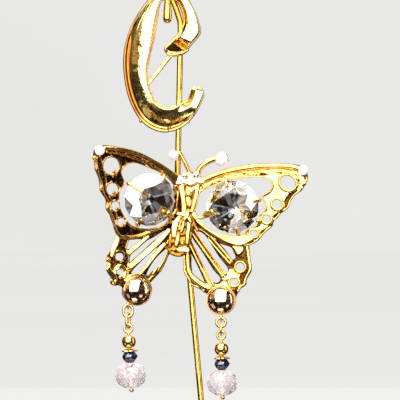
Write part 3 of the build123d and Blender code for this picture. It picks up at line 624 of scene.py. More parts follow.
# whitish and grey glass for chosen crystal facets: painted highlight and painted shade
M["crystal_bright"] = glass("crystal_painted_highlight", (0.95, 0.94, 0.92), (0.80, 0.80, 0.84), 1.9, 0.02, 500, trans=0.30)
M["crystal_grey"] = glass("crystal_painted_shade", (0.62, 0.63, 0.68), (0.30, 0.31, 0.36), 1.8, 0.02, 500, trans=0.60)
M["stone"] = glass("small_stone", (0.80, 0.78, 0.82), (0.50, 0.42, 0.72), 1.8, 0.01, 700, trans=0.25)
M["dark"] = glass("dark_blue_glass", (0.009, 0.019, 0.058), (0.002, 0.004, 0.016), 2.2, 0.02, trans=0.3)
M["pink"] = glass("pale_pink_glass", (1.0, 0.93, 0.96), (0.96, 0.84, 0.90), 1.6, 0.01, 420, trans=0.72, painted_streaks=(0.46, 0.24, 0.32))


def pearl(name, a, bcol):
    m, nt, b = node_mat(name)
    co = nt.nodes.new("ShaderNodeTexCoord").outputs["Object"]
    n1 = tex_noise(nt, 900, 3, 0.5, co)
    r1 = ramp(nt, n1.outputs["Fac"], [(0.35, a), (0.65, bcol)])
    nt.links.new(r1.outputs["Color"], b.inputs["Base Color"])
    n2 = tex_noise(nt, 2000, 2, 0.5, co)
    rr = ramp(nt, n2.outputs["Fac"], [(0.3, g3(0.12)), (0.75, g3(0.25))])
    nt.links.new(rr.outputs["Color"], b.inputs["Roughness"])
    b.inputs["Coat Weight"].default_value = 0.6
    b.inputs["Sheen Weight"].default_value = 0.2
    bp = nt.nodes.new("ShaderNodeBump")
    bp.inputs["Strength"].default_value = 0.1
    bp.inputs["Distance"].default_value = 0.00002
    nt.links.new(n2.outputs["Fac"], bp.inputs["Height"])
    nt.links.new(bp.outputs[0], b.inputs["Normal"])
    return m


# painted highlight: the wing-tip beads are coloured white for the bright highlight on the tip balls
M["pearl"] = pearl("white_bead", (0.74, 0.71, 0.72), (0.62, 0.57, 0.60))

# ------------------------------------------------------------------ shared dimensions, as in the frame
HEAD = (-2.15, 50.8)
LEAN = 11.46
CL, SL = math.cos(math.radians(LEAN)), math.sin(math.radians(LEAN))
TILT = {1: 10.0, -1: 20.0}
LOWER_BACK, UPPER_BACK, BODY_D = 1.30, 2.20, 3.30


def off_axis(x, z):
    return (x - HEAD[0]) * CL - (z - HEAD[1]) * SL


def wdepth(side, d0):
    k = math.tan(math.radians(TILT[side]))
    return lambda x, z: d0 + k * side * off_axis(x, z)


def wnormal(side):
    k = math.tan(math.radians(TILT[side]))
    return Vector((-k * side * CL, -1, k * side * SL)).normalized()


H = 0.115

# ------------------------------------------------------------------ right upper wing
RU_OUT = [(-3.15, 45.8), (-2.85, 47.3), (-1.95, 49.2), (0.45, 50.5), (2.71, 51.7), (6.03, 52.54), (10.17, 53.2),
    (14.33, 53.36), (17.65, 53.2), (19.25, 52.86), (20.35, 52.24), (20.65, 51.2), (20.63, 50.04), (19.85, 49.6),
    (19.55, 48.6), (19.13, 47.72), (18.05, 46.8), (17.31, 45.74), (16.95, 44.7), (16.47, 44.08), (15.45, 43.4),
    (14.81, 42.6), (14.01, 41.8), (13.65, 40.76), (12.65, 39.9), (11.83, 39.1), (11.15, 38.2), (10.17, 37.44),
    (9.01, 36.94), (7.53, 36.86), (5.65, 37.04), (4.03, 37.6), (1.89, 38.94), (-0.11, 40.1), (-1.43, 41.1),
    (-2.95, 42.2), (-3.67, 43.28)]
RU_CELL = [(-0.61, 47.56), (1.89, 48.72), (3.85, 49.6), (5.21, 50.08), (8.51, 50.5), (11.83, 50.54), (13.17, 49.88),
    (13.65, 48.88), (12.99, 47.72), (11.65, 46.9), (11.71, 46.2), (12.15, 45.4), (12.35, 44.6), (11.95, 43.6),
    (11.15, 43.1), (10.81, 42.2), (10.55, 41), (9.25, 40.5), (8.45, 39.9), (7.85, 39.16), (5.85, 38.9),
    (2.39, 39.5), (0.65, 40.4), (-0.35, 41.5), (-1.05, 42.4), (-1.75, 43.4), (-1.15, 45.6)]
R_HOLES = [((16.69, 49.44), 1.58, 1.32, -35), ((14.57, 45.16), 1.00, 0.88, -35), ((12.49, 42.26), 0.79, 0.75, -35), ((9.93, 39.3), 0.72, 0.70, 0)]
RU_WEB = [(11.05, 50.8), (13.65, 51.16), (15.45, 51.12), (17.65, 50.9), (18.65, 50.3), (18.85, 48.8), (18.15, 47.7),
    (17.05, 47.3), (16.45, 46.5), (16.05, 45.8), (16.15, 44.6), (15.55, 43.8), (14.55, 43.3), (13.85, 42.8),
    (13.81, 41.8), (13.35, 40.94), (12.25, 40.26), (11.45, 39.7), (11.05, 38.8), (10.15, 37.94), (8.85, 37.8),
    (8.05, 38.6), (7.85, 39.16), (8.45, 39.9), (9.25, 40.5), (10.55, 41), (10.81, 42.2), (11.15, 43.1),
    (11.95, 43.6), (12.35, 44.6), (12.15, 45.4), (11.71, 46.2), (11.65, 46.9), (12.99, 47.72), (13.65, 48.88),
    (13.17, 49.88), (11.83, 50.54)]


def right_upper():
    c = Cast(-4.6, 21.6, 36.0, 54.4, -0.5, 2.2, H)
    X, Z = c.X, c.Z
    out = poly_sd(X, Z, spline(RU_OUT, 3, True)[:, :2])
    cell = poly_sd(X, Z, spline(RU_CELL, 3, True)[:, :2])
    # back layer, its top pitted
    pit = hill(X, Z, 0.62, 0.1) * 0.10 + hill(X, Z, 0.33, 0.4) * 0.05
    c.slab(out, 0.0, 0.30 + pit * 0.5, 0.10)
    # front web
    web = poly_sd(X, Z, RU_WEB)
    for q, rx, rz, rot in R_HOLES:
        web = np.minimum(web, ell_sd(X, Z, q, rx + 0.48, rz + 0.48, rot))
    c.slab(web, 0.1, 0.78, 0.16, 0.08)
    # pitted band between the top bar and the cell's rim
    band = [(-1.15, 48.2), (0.45, 49.1), (2.45, 50), (4.85, 50.76), (7.25, 51.2), (10.05, 51.48), (12.85, 51.74),
    (15.45, 51.7), (17.65, 51.36), (19.25, 50.6), (19.45, 49.2), (18.95, 48.2)]
    c.bar(band, 0.62, 0.16, 0.42, 0.05)
    D0 = seg_dist(X, Z, spline(band, 4)[:, :2])[0]
    c.slab(D0 - 0.62, 0.2, 0.52 + pit * 1.6, 0.08, 0.05)
    # top bar
    c.bar([(-2.55, 48.5), (-1.15, 49.44), (0.55, 50.22), (2.71, 51.12), (6.05, 52), (10.17, 52.62), (14.33, 52.78),
    (17.45, 52.6), (19.05, 52.16)],
          [0.60, 0.62, 0.62, 0.62, 0.62, 0.60, 0.58, 0.55, 0.5], [0.58] * 9, [0.72] * 9, 0.06)
    # cell rim
    c.bar(RU_CELL, 0.30, 0.34, 0.72, 0.06, 4, True)
    # polished lower bar: broad and flat-topped, swelling toward the wing's corner
    c.strip([(-3.05, 44.1), (-2.35, 43.1), (-1.35, 42.1), (0.05, 40.88), (1.95, 39.72), (3.85, 38.8), (5.65, 38.2),
    (7.25, 38.04), (8.65, 38.32), (9.65, 38.74), (10.41, 39.3)],
            [0.30, 0.42, 0.48, 0.52, 0.62, 0.84, 1.04, 1.08, 0.86, 0.6, 0.4], 0.3, 1.12, 0.22, 0.06)
    # outer edge line
    edge = [(20.35, 50.6), (20.41, 49.9), (19.65, 49.44), (19.35, 48.6), (18.93, 47.84), (17.89, 46.96), (17.11, 45.88),
    (16.75, 44.8), (16.29, 44.24), (15.29, 43.56), (14.61, 42.76), (13.81, 41.92), (13.45, 40.88),
    (12.45, 40.04), (11.65, 39.24), (10.97, 38.4), (10.03, 37.64), (8.95, 37.16), (7.53, 37.06), (5.73, 37.24),
    (4.13, 37.78), (2.01, 39.12), (0.01, 40.28), (-1.31, 41.28)]
    c.bar(edge, 0.22, 0.26, 0.42, 0.04)
    # inner root strip beside the body
    c.bar([(-0.65, 48.5), (-1.03, 47), (-1.39, 45.4), (-1.79, 44), (-2.35, 42.8)], [0.5, 0.42, 0.40, 0.42, 0.5], 0.42, 0.70, 0.08)
    # hole rims
    for q, rx, rz, rot in R_HOLES:
        c.bar(ell_pts(q, rx, rz, rot, 0.20), 0.22, 0.24, 0.80, 0.06, 2, True)
    # knobs of the setting side
    c.ball(*(10.81, 41.7), 0.85, 0.52, 0.08, 0.8, 0.4)
    c.ball(*(11.01, 46.44), 0.80, 0.5, 0.08, 0.4, 0.4)
    c.ball(*(19.85, 49.3), 0.35, 0.55, 0.08, 0.5, 0.4)
    for q, rx, rz, rot in R_HOLES:
        c.cut(ell_sd(X, Z, q, rx, rz, rot), 0.05)
    c.cut(cell + 0.02, 0.05)
    c.keep(-(off_axis(X, Z)) - 0.15)
    v, q = c.mesh(wdepth(1, UPPER_BACK), 2, 0.53)
    return v, q, c.recess


v, q, rc = right_upper()
make("right_upper_wing_cast", v, q, "pin", [M["plate"], M["recess"]], ["right_upper_wing"], mat_index=rc)

# ------------------------------------------------------------------ left upper wing
LU_OUT = [(-2.55, 48.8), (-3.95, 50.1), (-5.35, 51.04), (-6.99, 52.2), (-9.49, 53.86), (-12.79, 55.52),
    (-16.11, 56.44), (-19.43, 56.84), (-20.85, 56.68), (-21.65, 56), (-21.91, 54.8), (-21.79, 53.9),
    (-21.45, 52.8), (-21.25, 51.4), (-20.79, 50), (-20.59, 48.06), (-20.15, 47.2), (-19.47, 46.24),
    (-19.49, 44.8), (-19.37, 44), (-18.75, 43.1), (-18.43, 42.08), (-18.05, 41.2), (-17.89, 40.26),
    (-17.35, 39.4), (-16.95, 38.8), (-16.11, 38.42), (-14.79, 38.3), (-12.79, 38.6), (-11.15, 39.24),
    (-8.99, 40.1), (-6.99, 41.3), (-5.75, 42.5), (-3.83, 42.52), (-3.45, 44.4)]
LU_CELL = [(-16.29, 51.3), (-15.85, 52.4), (-14.95, 53.1), (-13.95, 53.34), (-12.75, 53.14), (-11.15, 52.5),
    (-9.15, 51.7), (-7.75, 50.84), (-6.75, 49.9), (-5.95, 48.8), (-5.43, 47.6), (-5.45, 46.4), (-6.03, 45.4),
    (-6.11, 44.5), (-6.65, 43.5), (-7.15, 42.9), (-7.25, 41.9), (-8.15, 41), (-9.75, 40.5), (-11.35, 40.3),
    (-12.95, 40.5), (-14.15, 40.96), (-15.03, 41.7), (-15.83, 42.9), (-16.47, 44.2), (-16.67, 45.4),
    (-16.71, 46.8), (-16.51, 48), (-15.89, 48.8), (-15.75, 49.8)]
L_HOLES = [((-18.31, 52.74), 1.53, 1.70, 0), ((-18.11, 48.14), 1.08, 1.20, 0), ((-17.53, 44.8), 0.80, 0.92, 0), ((-16.41, 41.6), 0.76, 0.80, 0)]


def left_upper():
    c = Cast(-22.6, -1.4, 37.6, 57.4, -0.5, 2.2, H)
    X, Z = c.X, c.Z
    out = poly_sd(X, Z, spline(LU_OUT, 3, True)[:, :2])
    cell = poly_sd(X, Z, spline(LU_CELL, 3, True)[:, :2])
    pit = hill(X, Z, 0.9, 0.2) * 0.05
    c.slab(out, 0.0, 0.34 + pit, 0.10)
    plate = out + 0.72
    c.slab(plate, 0.1, 0.52 + pit, 0.12, 0.05)
    # top bar of two ridges that run together near the body
    tl = (0.26, -0.26)
    c.strip([(-19.55, 56.28), (-17.75, 56.16), (-16.05, 55.92), (-12.79, 54.96), (-9.55, 53.28), (-7.15, 51.6),
    (-5.45, 50.24), (-3.95, 49.2)],
            [0.36, 0.42, 0.44, 0.46, 0.54, 0.70, 0.84, 0.84], 0.15, 1.05, 0.24, 0.04, 6, tl)
    c.strip([(-19.15, 55.48), (-17.55, 55.28), (-15.95, 55), (-13.05, 54.08), (-10.15, 52.52), (-8.35, 51.36)],
            [0.20, 0.24, 0.26, 0.26, 0.26, 0.22], 0.15, 0.86, 0.14, 0.04, 6, tl)
    # outer edge: a wavy raised strip
    edge = [(-21.39, 54), (-21.23, 53.1), (-21.11, 52.1), (-20.89, 51.2), (-20.55, 50.1), (-20.29, 49.1), (-20.19, 48.2),
    (-19.85, 47.2), (-19.23, 46.2), (-19.03, 45.3), (-18.97, 44.4), (-18.51, 43.4), (-18.11, 42.4),
    (-17.75, 41.4), (-17.51, 40.3), (-17.07, 39.4), (-16.45, 38.76), (-15.15, 38.56), (-13.15, 38.84),
    (-11.25, 39.48), (-9.19, 40.32), (-7.35, 41.4)]
    wid = [0.3, 0.42, 0.46, 0.30, 0.24, 0.40, 0.48, 0.30, 0.30, 0.44, 0.48, 0.32, 0.40, 0.34, 0.32, 0.36, 0.42, 0.46, 0.44, 0.42, 0.4, 0.36]
    c.strip(edge, [w * 0.96 for w in wid], 0.1, 0.94, 0.2, 0.04, 6, tl)
    c.ball(*(-21.39, 54.28), 0.62, 0.62, 0.08, 0.55, 0.5)
    # inner second line
    c.strip([(-20.55, 54.7), (-20.19, 53.6), (-19.89, 52.4), (-19.55, 51), (-19.27, 49.6), (-19.23, 48.3), (-18.91, 47.4),
    (-18.31, 46.94)], 0.17, 0.2, 0.88, 0.1, 0.04, 6, tl)
    c.bar([(-18.65, 46.6), (-18.35, 45.8), (-18.31, 44.8), (-17.95, 44), (-17.35, 43.5), (-17.25, 42.6), (-17.05, 41.7)], 0.16, 0.2, 0.62, 0.04)
    # hole rims and the small bright knobs on them
    for q, rx, rz, rot in L_HOLES:
        c.bar(ell_pts(q, rx, rz, rot, 0.15), 0.16, 0.20, 0.62, 0.04, 2, True)
    for (x, z), r in (((-17.67, 51.76), 0.52), ((-17.75, 47.48), 0.50), ((-17.15, 44.28), 0.46), ((-16.03, 40.96), 0.44)):
        c.ball(x, z, 0.74, r, 0.06, r, 0.36)
    c.ball(*(-17.91, 50.56), 0.55, 0.2, 0.05, 0.2, 0.2)
    c.bar(LU_CELL, 0.19, 0.26, 0.66, 0.05, 4, True)
    # bright rim along the foot of the cell and the channel below it
    c.strip([(-15.35, 41.7), (-14.45, 40.88), (-13.15, 40.34), (-11.55, 40.1), (-9.95, 40.28), (-8.55, 40.76),
    (-7.35, 41.6)], [0.2, 0.26, 0.3, 0.3, 0.3, 0.3, 0.26], 0.2, 1.02, 0.14, 0.05, 6, tl)
    c.ball(*(-8.65, 40.4), 0.72, 0.52, 0.06, 0.44, 0.36)
    c.ball(*(-7.63, 41.36), 0.78, 0.55, 0.06, 0.5, 0.4)
    # root strips beside the body
    c.bar([(-5.45, 48.8), (-4.99, 47.8), (-5.11, 46.4), (-5.31, 44.8), (-5.15, 43.2)], 0.34, 0.38, 0.66, 0.08)
    c.bar([(-7.19, 43.2), (-6.99, 42.2), (-6.35, 41.5), (-5.15, 42.2)], 0.34, 0.36, 0.62, 0.08)
    for q, rx, rz, rot in L_HOLES:
        c.cut(ell_sd(X, Z, q, rx, rz, rot), 0.05)
    # the knobs hang into the holes a little
    for ((x, z), r), (h, rx, rz, rot) in zip((((-17.91, 51.92), 0.42), ((-17.91, 47.68), 0.40), ((-17.31, 44.44), 0.34), ((-16.17, 41.14), 0.32)), L_HOLES):
        u, w = x - h[0], z - h[1]
        t = 1 / math.hypot(u / rx, w / rz)
        a = 1 + 0.45 * (t - 1)
        c.bar([(h[0] + u * a, h[1] + w * a), (h[0] + u * t * 1.12, h[1] + w * t * 1.12)], r * 0.70, 0.26, 0.58, 0.06, 2)
        c.ball(h[0] + u * a, h[1] + w * a, 0.70, r, 0.06, r, 0.32)
    c.cut(cell + 0.02, 0.05)
    c.keep(off_axis(X, Z) - 0.15)
    return (*c.mesh(wdepth(-1, UPPER_BACK), 2, 0.60), c.recess)


v, q, rc = left_upper()
make("left_upper_wing_cast", v, q, "pin", [M["plate_left"], M["recess_left"]], ["left_upper_wing"], mat_index=rc)

# ------------------------------------------------------------------ right lower wing
RL_OUT = [(-4.03, 41.6), (-2.15, 41.7), (-0.11, 40.4), (1.89, 39.24), (4.05, 37.9), (5.65, 37.34), (7.53, 37.2),
    (8.97, 37.28), (9.17, 36), (9.37, 34.4), (9.57, 33), (9.57, 31.8), (8.97, 30.8), (8.57, 30), (8.51, 29.08),
    (7.65, 28.7), (7.05, 28), (6.75, 27.2), (6.49, 26.6), (6.45, 25.6), (5.95, 24.6), (5.15, 23.7),
    (4.05, 23.16), (2.85, 23.2), (1.75, 23.8), (0.97, 24.8), (0.63, 26), (0.71, 27.1), (-0.05, 27.54),
    (-0.85, 28.24), (-1.95, 28.7), (-2.75, 29.2), (-3.15, 30.1), (-3.75, 31), (-4.07, 32), (-4.11, 33.6),
    (-4.15, 35.2), (-4.25, 36.6), (-5.03, 36.5)]
RL_OPEN = [[(-3.09, 36.6), (-2.67, 35.2), (-2.59, 32.4), (-2.31, 31.4), (-1.51, 30.6), (-0.35, 29.74), (0.25, 29.54),
    (-0.11, 30.5), (-1.15, 32.8), (-2.27, 35)],
           [(-2.59, 39.1), (-1.83, 37.8), (-0.75, 36.36), (0.65, 34.2), (2.05, 32), (3.25, 30.7), (3.35, 30),
    (2.95, 29.5), (2.15, 29.4), (1.35, 29.9), (0.65, 31.4), (-0.55, 33.8), (-1.71, 36.2), (-2.51, 37.9)],
           [(-1.65, 39.8), (-0.55, 39.64), (0.35, 38.96), (0.99, 38.1), (1.89, 36.6), (3.05, 34.8), (4.25, 33.3),
    (4.85, 32.4), (4.89, 31.54), (4.25, 31.4), (3.45, 32.3), (2.05, 34.2), (0.49, 36.7), (-0.91, 38.64)],
           [(2.15, 38.24), (3.45, 37.3), (5.45, 36.64), (6.05, 35.6), (6.45, 34.6), (5.89, 34), (5.45, 34.3),
    (4.25, 35.96), (2.89, 37.44)]]
RL_HOLES = [((7.23, 32.66), 0.80, 0.80, 0), ((6.03, 29.66), 0.80, 0.65, 0)]


def right_lower():
    c = Cast(-6.2, 10.4, 22.4, 43.8, -0.45, 1.9, H)
    X, Z = c.X, c.Z
    out = poly_sd(X, Z, spline(RL_OUT, 3, True)[:, :2])
    pit = hill(X, Z, 0.6, 0.6) * 0.10 + hill(X, Z, 0.33, 0.9) * 0.05
    c.slab(out, 0.0, 0.30 + pit * 0.6, 0.10)
    # twin-ridged ribs
    def rib(a, b, wa, wb, gap):
        (ax, az), (bx, bz) = a, b
        L = math.hypot(bx - ax, bz - az)
        nx, nz = -(bz - az) / L, (bx - ax) / L
        for s in (-1, 1):
            c.bar([(ax + nx * s * gap, az + nz * s * gap), ((ax + bx) / 2 + nx * s * gap, (az + bz) / 2 + nz * s * gap), (bx + nx * s * gap * 0.9, bz + nz * s * gap * 0.9)], [wa, (wa + wb) / 2, wb], 0.34, 0.62, 0.03)
    rib((1.15, 38.5), (5.45, 33.5), 0.27, 0.27, 0.36)
    rib((-2.29, 39.9), (4.05, 31), 0.30, 0.34, 0.40)
    rib((-3.03, 38.3), (1.65, 28.8), 0.27, 0.30, 0.36)
    # inner edge: broad pale bar with a thin darker line outside it
    c.bar([(-3.49, 37.4), (-3.35, 35.6), (-3.23, 33.6), (-3.07, 32), (-2.45, 30.76), (-1.45, 29.74), (-0.25, 28.92),
    (0.85, 28.4)], [0.42, 0.48, 0.52, 0.56, 0.58, 0.60, 0.62, 0.6], 0.45, 0.62, 0.05)
    c.bar([(-4.03, 36), (-3.97, 33.6), (-3.91, 32.1), (-3.49, 30.96), (-2.89, 30), (-2.51, 29.2), (-1.55, 28.76),
    (-0.65, 28.28), (0.05, 27.8)], 0.20, 0.26, 0.35, 0.04)
    # outer edge
    c.bar([(8.55, 36.8), (8.77, 35.6), (8.97, 34.2), (9.17, 32.9), (9.09, 31.9), (8.57, 30.94), (8.17, 30),
    (8.01, 29.2), (7.21, 28.64), (6.77, 27.8)], [0.4, 0.42, 0.42, 0.36, 0.34, 0.30, 0.32, 0.36, 0.36, 0.3], 0.40, 0.58, 0.05)
    # rims round the holes and the bright pads between them
    for q, rx, rz, rot in RL_HOLES:
        c.bar(ell_pts(q, rx, rz, rot, 0.26), 0.28, 0.30, 0.72, 0.06, 2, True)
    c.slab(poly_sd(X, Z, [(5.05, 32.3), (6.05, 32.3), (7.25, 31.7), (7.35, 30.8), (6.85, 30.2), (5.25, 30.2), (4.05, 29.8),
    (3.35, 30.1), (3.45, 31), (4.55, 31.3)]), 0.1, 0.78, 0.16, 0.08)
    c.slab(poly_sd(X, Z, [(0.25, 29.3), (1.15, 29.8), (2.05, 29.24), (3.05, 29.24), (3.65, 29.8), (5.05, 29.7), (5.85, 28.6),
    (6.45, 28.1), (4.85, 27.9), (2.05, 27.9), (0.65, 27.8)]), 0.1, 0.74, 0.16, 0.08)
    # yellow triangular web under the upper wing
    c.slab(poly_sd(X, Z, [(5.35, 36.9), (7.95, 36.8), (7.95, 35.9), (7.35, 35.2), (6.85, 34.9), (6.55, 35.3), (6.11, 36.1)]), 0.1, 0.62, 0.2, 0.08)
    # top edge against the upper wing
    c.bar([(-2.55, 41.6), (-1.55, 40.56), (-0.15, 39.8), (1.05, 38.84), (2.45, 38.04)], 0.24, 0.30, 0.42, 0.05)
    # root fan
    c.bar([(-3.35, 41.6), (-2.85, 40.6), (-2.45, 39.5)], [0.5, 0.5, 0.4], 0.4, 0.62, 0.08)
    c.bar([(-2.75, 42.2), (-1.95, 40.9), (-1.35, 40.1)], [0.5, 0.42, 0.35], 0.4, 0.66, 0.06)
    c.bar([(-3.45, 39.6), (-3.05, 38), (-2.85, 36.8)], [0.4, 0.42, 0.3], 0.4, 0.56, 0.06)
    for o in RL_OPEN:
        c.cut(poly_sd(X, Z, spline(o, 3, True)[:, :2]) + 0.10, 0.05)
    for q, rx, rz, rot in RL_HOLES:
        c.cut(ell_sd(X, Z, q, rx, rz, rot), 0.05)
    c.keep(-(off_axis(X, Z)) - 0.1)
    return (*c.mesh(wdepth(1, LOWER_BACK), 2, 0.47), c.recess)


v, q, rc = right_lower()
make("right_lower_wing_cast", v, q, "pin", [M["plate"], M["recess"]], ["right_lower_wing"], mat_index=rc)

# ------------------------------------------------------------------ left lower wing
LL_OUT = [(-3.19, 41.5), (-4.45, 36.3), (-5.55, 34.7), (-6.55, 35.2), (-7.15, 34.6), (-7.55, 33.6), (-8.11, 32.4),
    (-8.69, 31.6), (-9.55, 30.6), (-10.35, 29.8), (-10.69, 29.3), (-10.51, 28.2), (-10.79, 26.9), (-11.55, 26),
    (-12.65, 25.28), (-13.95, 25.16), (-15.15, 25.64), (-15.99, 26.5), (-16.39, 27.6), (-16.31, 28.6),
    (-16.95, 28.96), (-17.75, 29), (-18.43, 29.2), (-18.47, 30.2), (-18.75, 31.1), (-19.35, 31.8),
    (-19.27, 32.5), (-18.95, 33.5), (-19.39, 34), (-19.35, 34.8), (-18.75, 35.6), (-18.15, 37), (-17.55, 38.7),
    (-17.15, 39.4), (-15.55, 38.7), (-14.75, 38.6), (-12.75, 38.9), (-11.15, 39.54), (-8.99, 40.4),
    (-6.99, 41.6), (-5.55, 42.48)]
LL_OPEN = [[(-14.85, 38.1), (-13.95, 38.2), (-12.55, 38.32), (-11.95, 38.42), (-12.95, 37.6), (-14.15, 36.7),
    (-14.75, 36.2), (-15.45, 36.3), (-15.15, 37.4)],
           [(-14.55, 35.2), (-13.75, 35.9), (-12.35, 37.1), (-11.15, 38.1), (-10.55, 38.36), (-9.15, 39.2),
    (-7.75, 40.06), (-7.45, 39.96), (-8.75, 38.8), (-10.75, 37.1), (-12.75, 35.2), (-14.15, 34), (-14.75, 33.4),
    (-14.85, 34.4)],
           [(-14.15, 32.1), (-13.55, 32.8), (-11.75, 34.6), (-9.75, 36.3), (-8.75, 36.8), (-8.15, 37.26), (-9.35, 36),
    (-10.35, 34.8), (-11.35, 33.4), (-12.55, 31.8), (-13.15, 31.32), (-14.55, 31.32)],
           [(-11.55, 31.1), (-10.95, 32.4), (-9.95, 34), (-8.75, 35.3), (-7.95, 36), (-7.35, 36.4), (-7.45, 35.4),
    (-8.23, 33.6), (-8.83, 32.8), (-9.55, 32.4), (-10.35, 31.6), (-11.15, 30.8)]]
LL_HOLES = [((-16.77, 34.72), 0.75, 0.75, 0), ((-16.61, 31.66), 0.72, 0.50, 0)]


def left_lower():
    c = Cast(-20.2, -2.2, 24.2, 43.2, -0.45, 1.9, H)
    X, Z = c.X, c.Z
    out = poly_sd(X, Z, spline(LL_OUT, 3, True)[:, :2])
    pit = hill(X, Z, 0.7, 0.3) * 0.08
    c.slab(out, 0.0, 0.30 + pit, 0.10)
    # three pale flat-topped bars, their tops turned a little toward the outer edge
    tl = (0.30, -0.22)
    c.strip([(-14.79, 35.56), (-12.95, 37.16), (-11.23, 38.72)], [0.50, 0.52, 0.46], 0.15, 0.98, 0.16, 0.04, 6, tl)
    c.strip([(-14.49, 32.88), (-11.75, 35.28), (-9.15, 37.64), (-7.05, 39.92)], [0.54, 0.60, 0.62, 0.50], 0.15, 1.02, 0.16, 0.04, 6, tl)
    c.strip([(-12.55, 31.48), (-11.25, 33.08), (-10.15, 34.6), (-8.95, 36.04), (-7.87, 37.12)], [0.40, 0.44, 0.50, 0.54, 0.44], 0.15, 1.0, 0.16, 0.04, 6, tl)
    # inner edge bar in lengths
    c.bar([(-7.05, 36.5), (-7.43, 35.2), (-7.95, 33.9), (-8.55, 32.7), (-8.89, 31.9)], [0.5, 0.5, 0.5, 0.5, 0.42], 0.42, 0.50, 0.05)
    c.bar([(-9.25, 32.3), (-9.65, 31.7), (-9.99, 31.24)], [0.42, 0.55, 0.42], 0.45, 0.66, 0.05)
    c.bar([(-9.85, 31), (-10.45, 30.4), (-10.85, 29.9)], 0.44, 0.42, 0.48, 0.06)
    c.bar([(-6.35, 38.8), (-7.15, 37.6), (-7.45, 36.4)], 0.34, 0.4, 0.52, 0.06)
    # outer edge: broad bar, knob, second bar
    c.strip([(-17.03, 38.8), (-17.31, 37.8), (-17.71, 36.8), (-18.05, 35.8), (-18.23, 35)], [0.50, 0.58, 0.58, 0.50, 0.40], 0.15, 1.0, 0.18, 0.05, 6, tl)
    c.ball(*(-18.91, 34.16), 0.62, 0.58, 0.06, 0.55, 0.45)
    c.strip([(-18.79, 33.2), (-18.91, 32.3), (-18.43, 31.5), (-17.85, 30.7), (-17.59, 30.04)], [0.40, 0.50, 0.58, 0.58, 0.44], 0.15, 1.0, 0.18, 0.05, 6, tl)
    c.bar([(-18.35, 30.1), (-18.27, 29.4), (-17.65, 29.2)], 0.30, 0.34, 0.42, 0.05)
    c.ball(*(-17.67, 29.48), 0.62, 0.36, 0.05, 0.4, 0.3)
    # rings round the two holes
    c.bar([(-17.45, 34), (-17.63, 34.8), (-17.35, 35.7), (-16.75, 36.04), (-16.05, 35.7), (-15.79, 34.8)], 0.2, 0.26, 0.58, 0.05)
    c.ball(*(-16.35, 33.88), 0.70, 0.46, 0.06, 0.46, 0.35)
    c.strip([(-17.51, 31.7), (-17.35, 32.4), (-16.71, 32.84), (-16.03, 32.56), (-15.71, 31.76), (-15.91, 30.8)], [0.46, 0.5, 0.5, 0.5, 0.46, 0.46], 0.15, 1.08, 0.2, 0.05, 6, tl)
    c.ball(*(-16.43, 30.64), 0.66, 0.62, 0.06, 0.5, 0.45)
    # band over the dome and joining plate
    c.strip([(-15.55, 30.1), (-14.85, 30.6), (-13.75, 30.88), (-12.55, 30.84), (-11.75, 30.3), (-11.25, 29.5)], [0.42, 0.50, 0.52, 0.56, 0.5, 0.4], 0.15, 1.05, 0.2, 0.06, 6, tl)
    c.bar([(-15.35, 36.2), (-15.15, 34.8), (-15.05, 33.6), (-15.05, 32.3), (-15.15, 31.2)], 0.22, 0.24, 0.45, 0.05)
    c.ball(*(-14.71, 32.24), 0.60, 0.42, 0.05, 0.42, 0.34)
    c.ball(*(-16.55, 36.24), 0.45, 0.22, 0.05, 0.22, 0.2)
    c.ball(*(-15.05, 34.6), 0.45, 0.24, 0.05, 0.24, 0.2)
    # top edge against the upper wing
    c.bar([(-16.95, 39.1), (-15.95, 38.56), (-14.75, 38.4), (-12.95, 38.68), (-11.25, 39.28), (-9.35, 40.08),
    (-7.55, 41.08)], 0.26, 0.3, 0.40, 0.05)
    c.bar([(-15.05, 38.3), (-15.19, 37.4), (-15.55, 36.4)], 0.18, 0.22, 0.42, 0.05)
    for o in LL_OPEN:
        c.cut(poly_sd(X, Z, spline(o, 3, True)[:, :2]) + 0.10, 0.05)
    for q, rx, rz, rot in LL_HOLES:
        c.cut(ell_sd(X, Z, q, rx, rz, rot), 0.05)
    c.keep(off_axis(X, Z) - 0.1)
    return (*c.mesh(wdepth(-1, LOWER_BACK), 2, 0.47), c.recess)


v, q, rc = left_lower()
make("left_lower_wing_cast", v, q, "pin", [M["plate"], M["recess"]], ["left_lower_wing"], mat_index=rc)

# ------------------------------------------------------------------ body of the butterfly
BODY_EDGE = [(-6.55, 50.9), (-5.75, 51.3), (-4.55, 51), (-3.55, 51.5), (-2.35, 51.4), (-1.35, 51.7), (-0.55, 50.7),
    (0.25, 49.8), (-0.15, 49.2), (-0.79, 48.6), (-0.95, 47), (-1.39, 45.4), (-1.85, 44), (-1.47, 42.6),
    (-1.75, 40.8), (-2.15, 39.2), (-2.45, 37.6), (-2.99, 36.6), (-3.03, 35.6), (-3.95, 35.12), (-4.95, 34.72),
    (-6.35, 34.92), (-7.09, 35.8), (-6.99, 36.8), (-6.87, 38.4), (-6.55, 39.6), (-6.23, 41.2), (-5.55, 42.6),
    (-4.83, 43.4), (-4.69, 45.2), (-4.89, 47), (-4.89, 48.6), (-5.65, 49.1), (-6.51, 50)]
HEAD_EDGE = [(-6.51, 50.7), (-5.75, 51.2), (-4.55, 50.88), (-3.59, 51.44), (-2.75, 51.48), (-2.15, 51.16), (-1.35, 51.68),
    (-0.47, 50.7), (0.33, 49.7), (-0.55, 49.08), (-1.15, 49.32), (-1.75, 49), (-2.55, 48.6), (-3.35, 49),
    (-4.15, 49.2), (-4.95, 48.96), (-5.75, 49.28)]


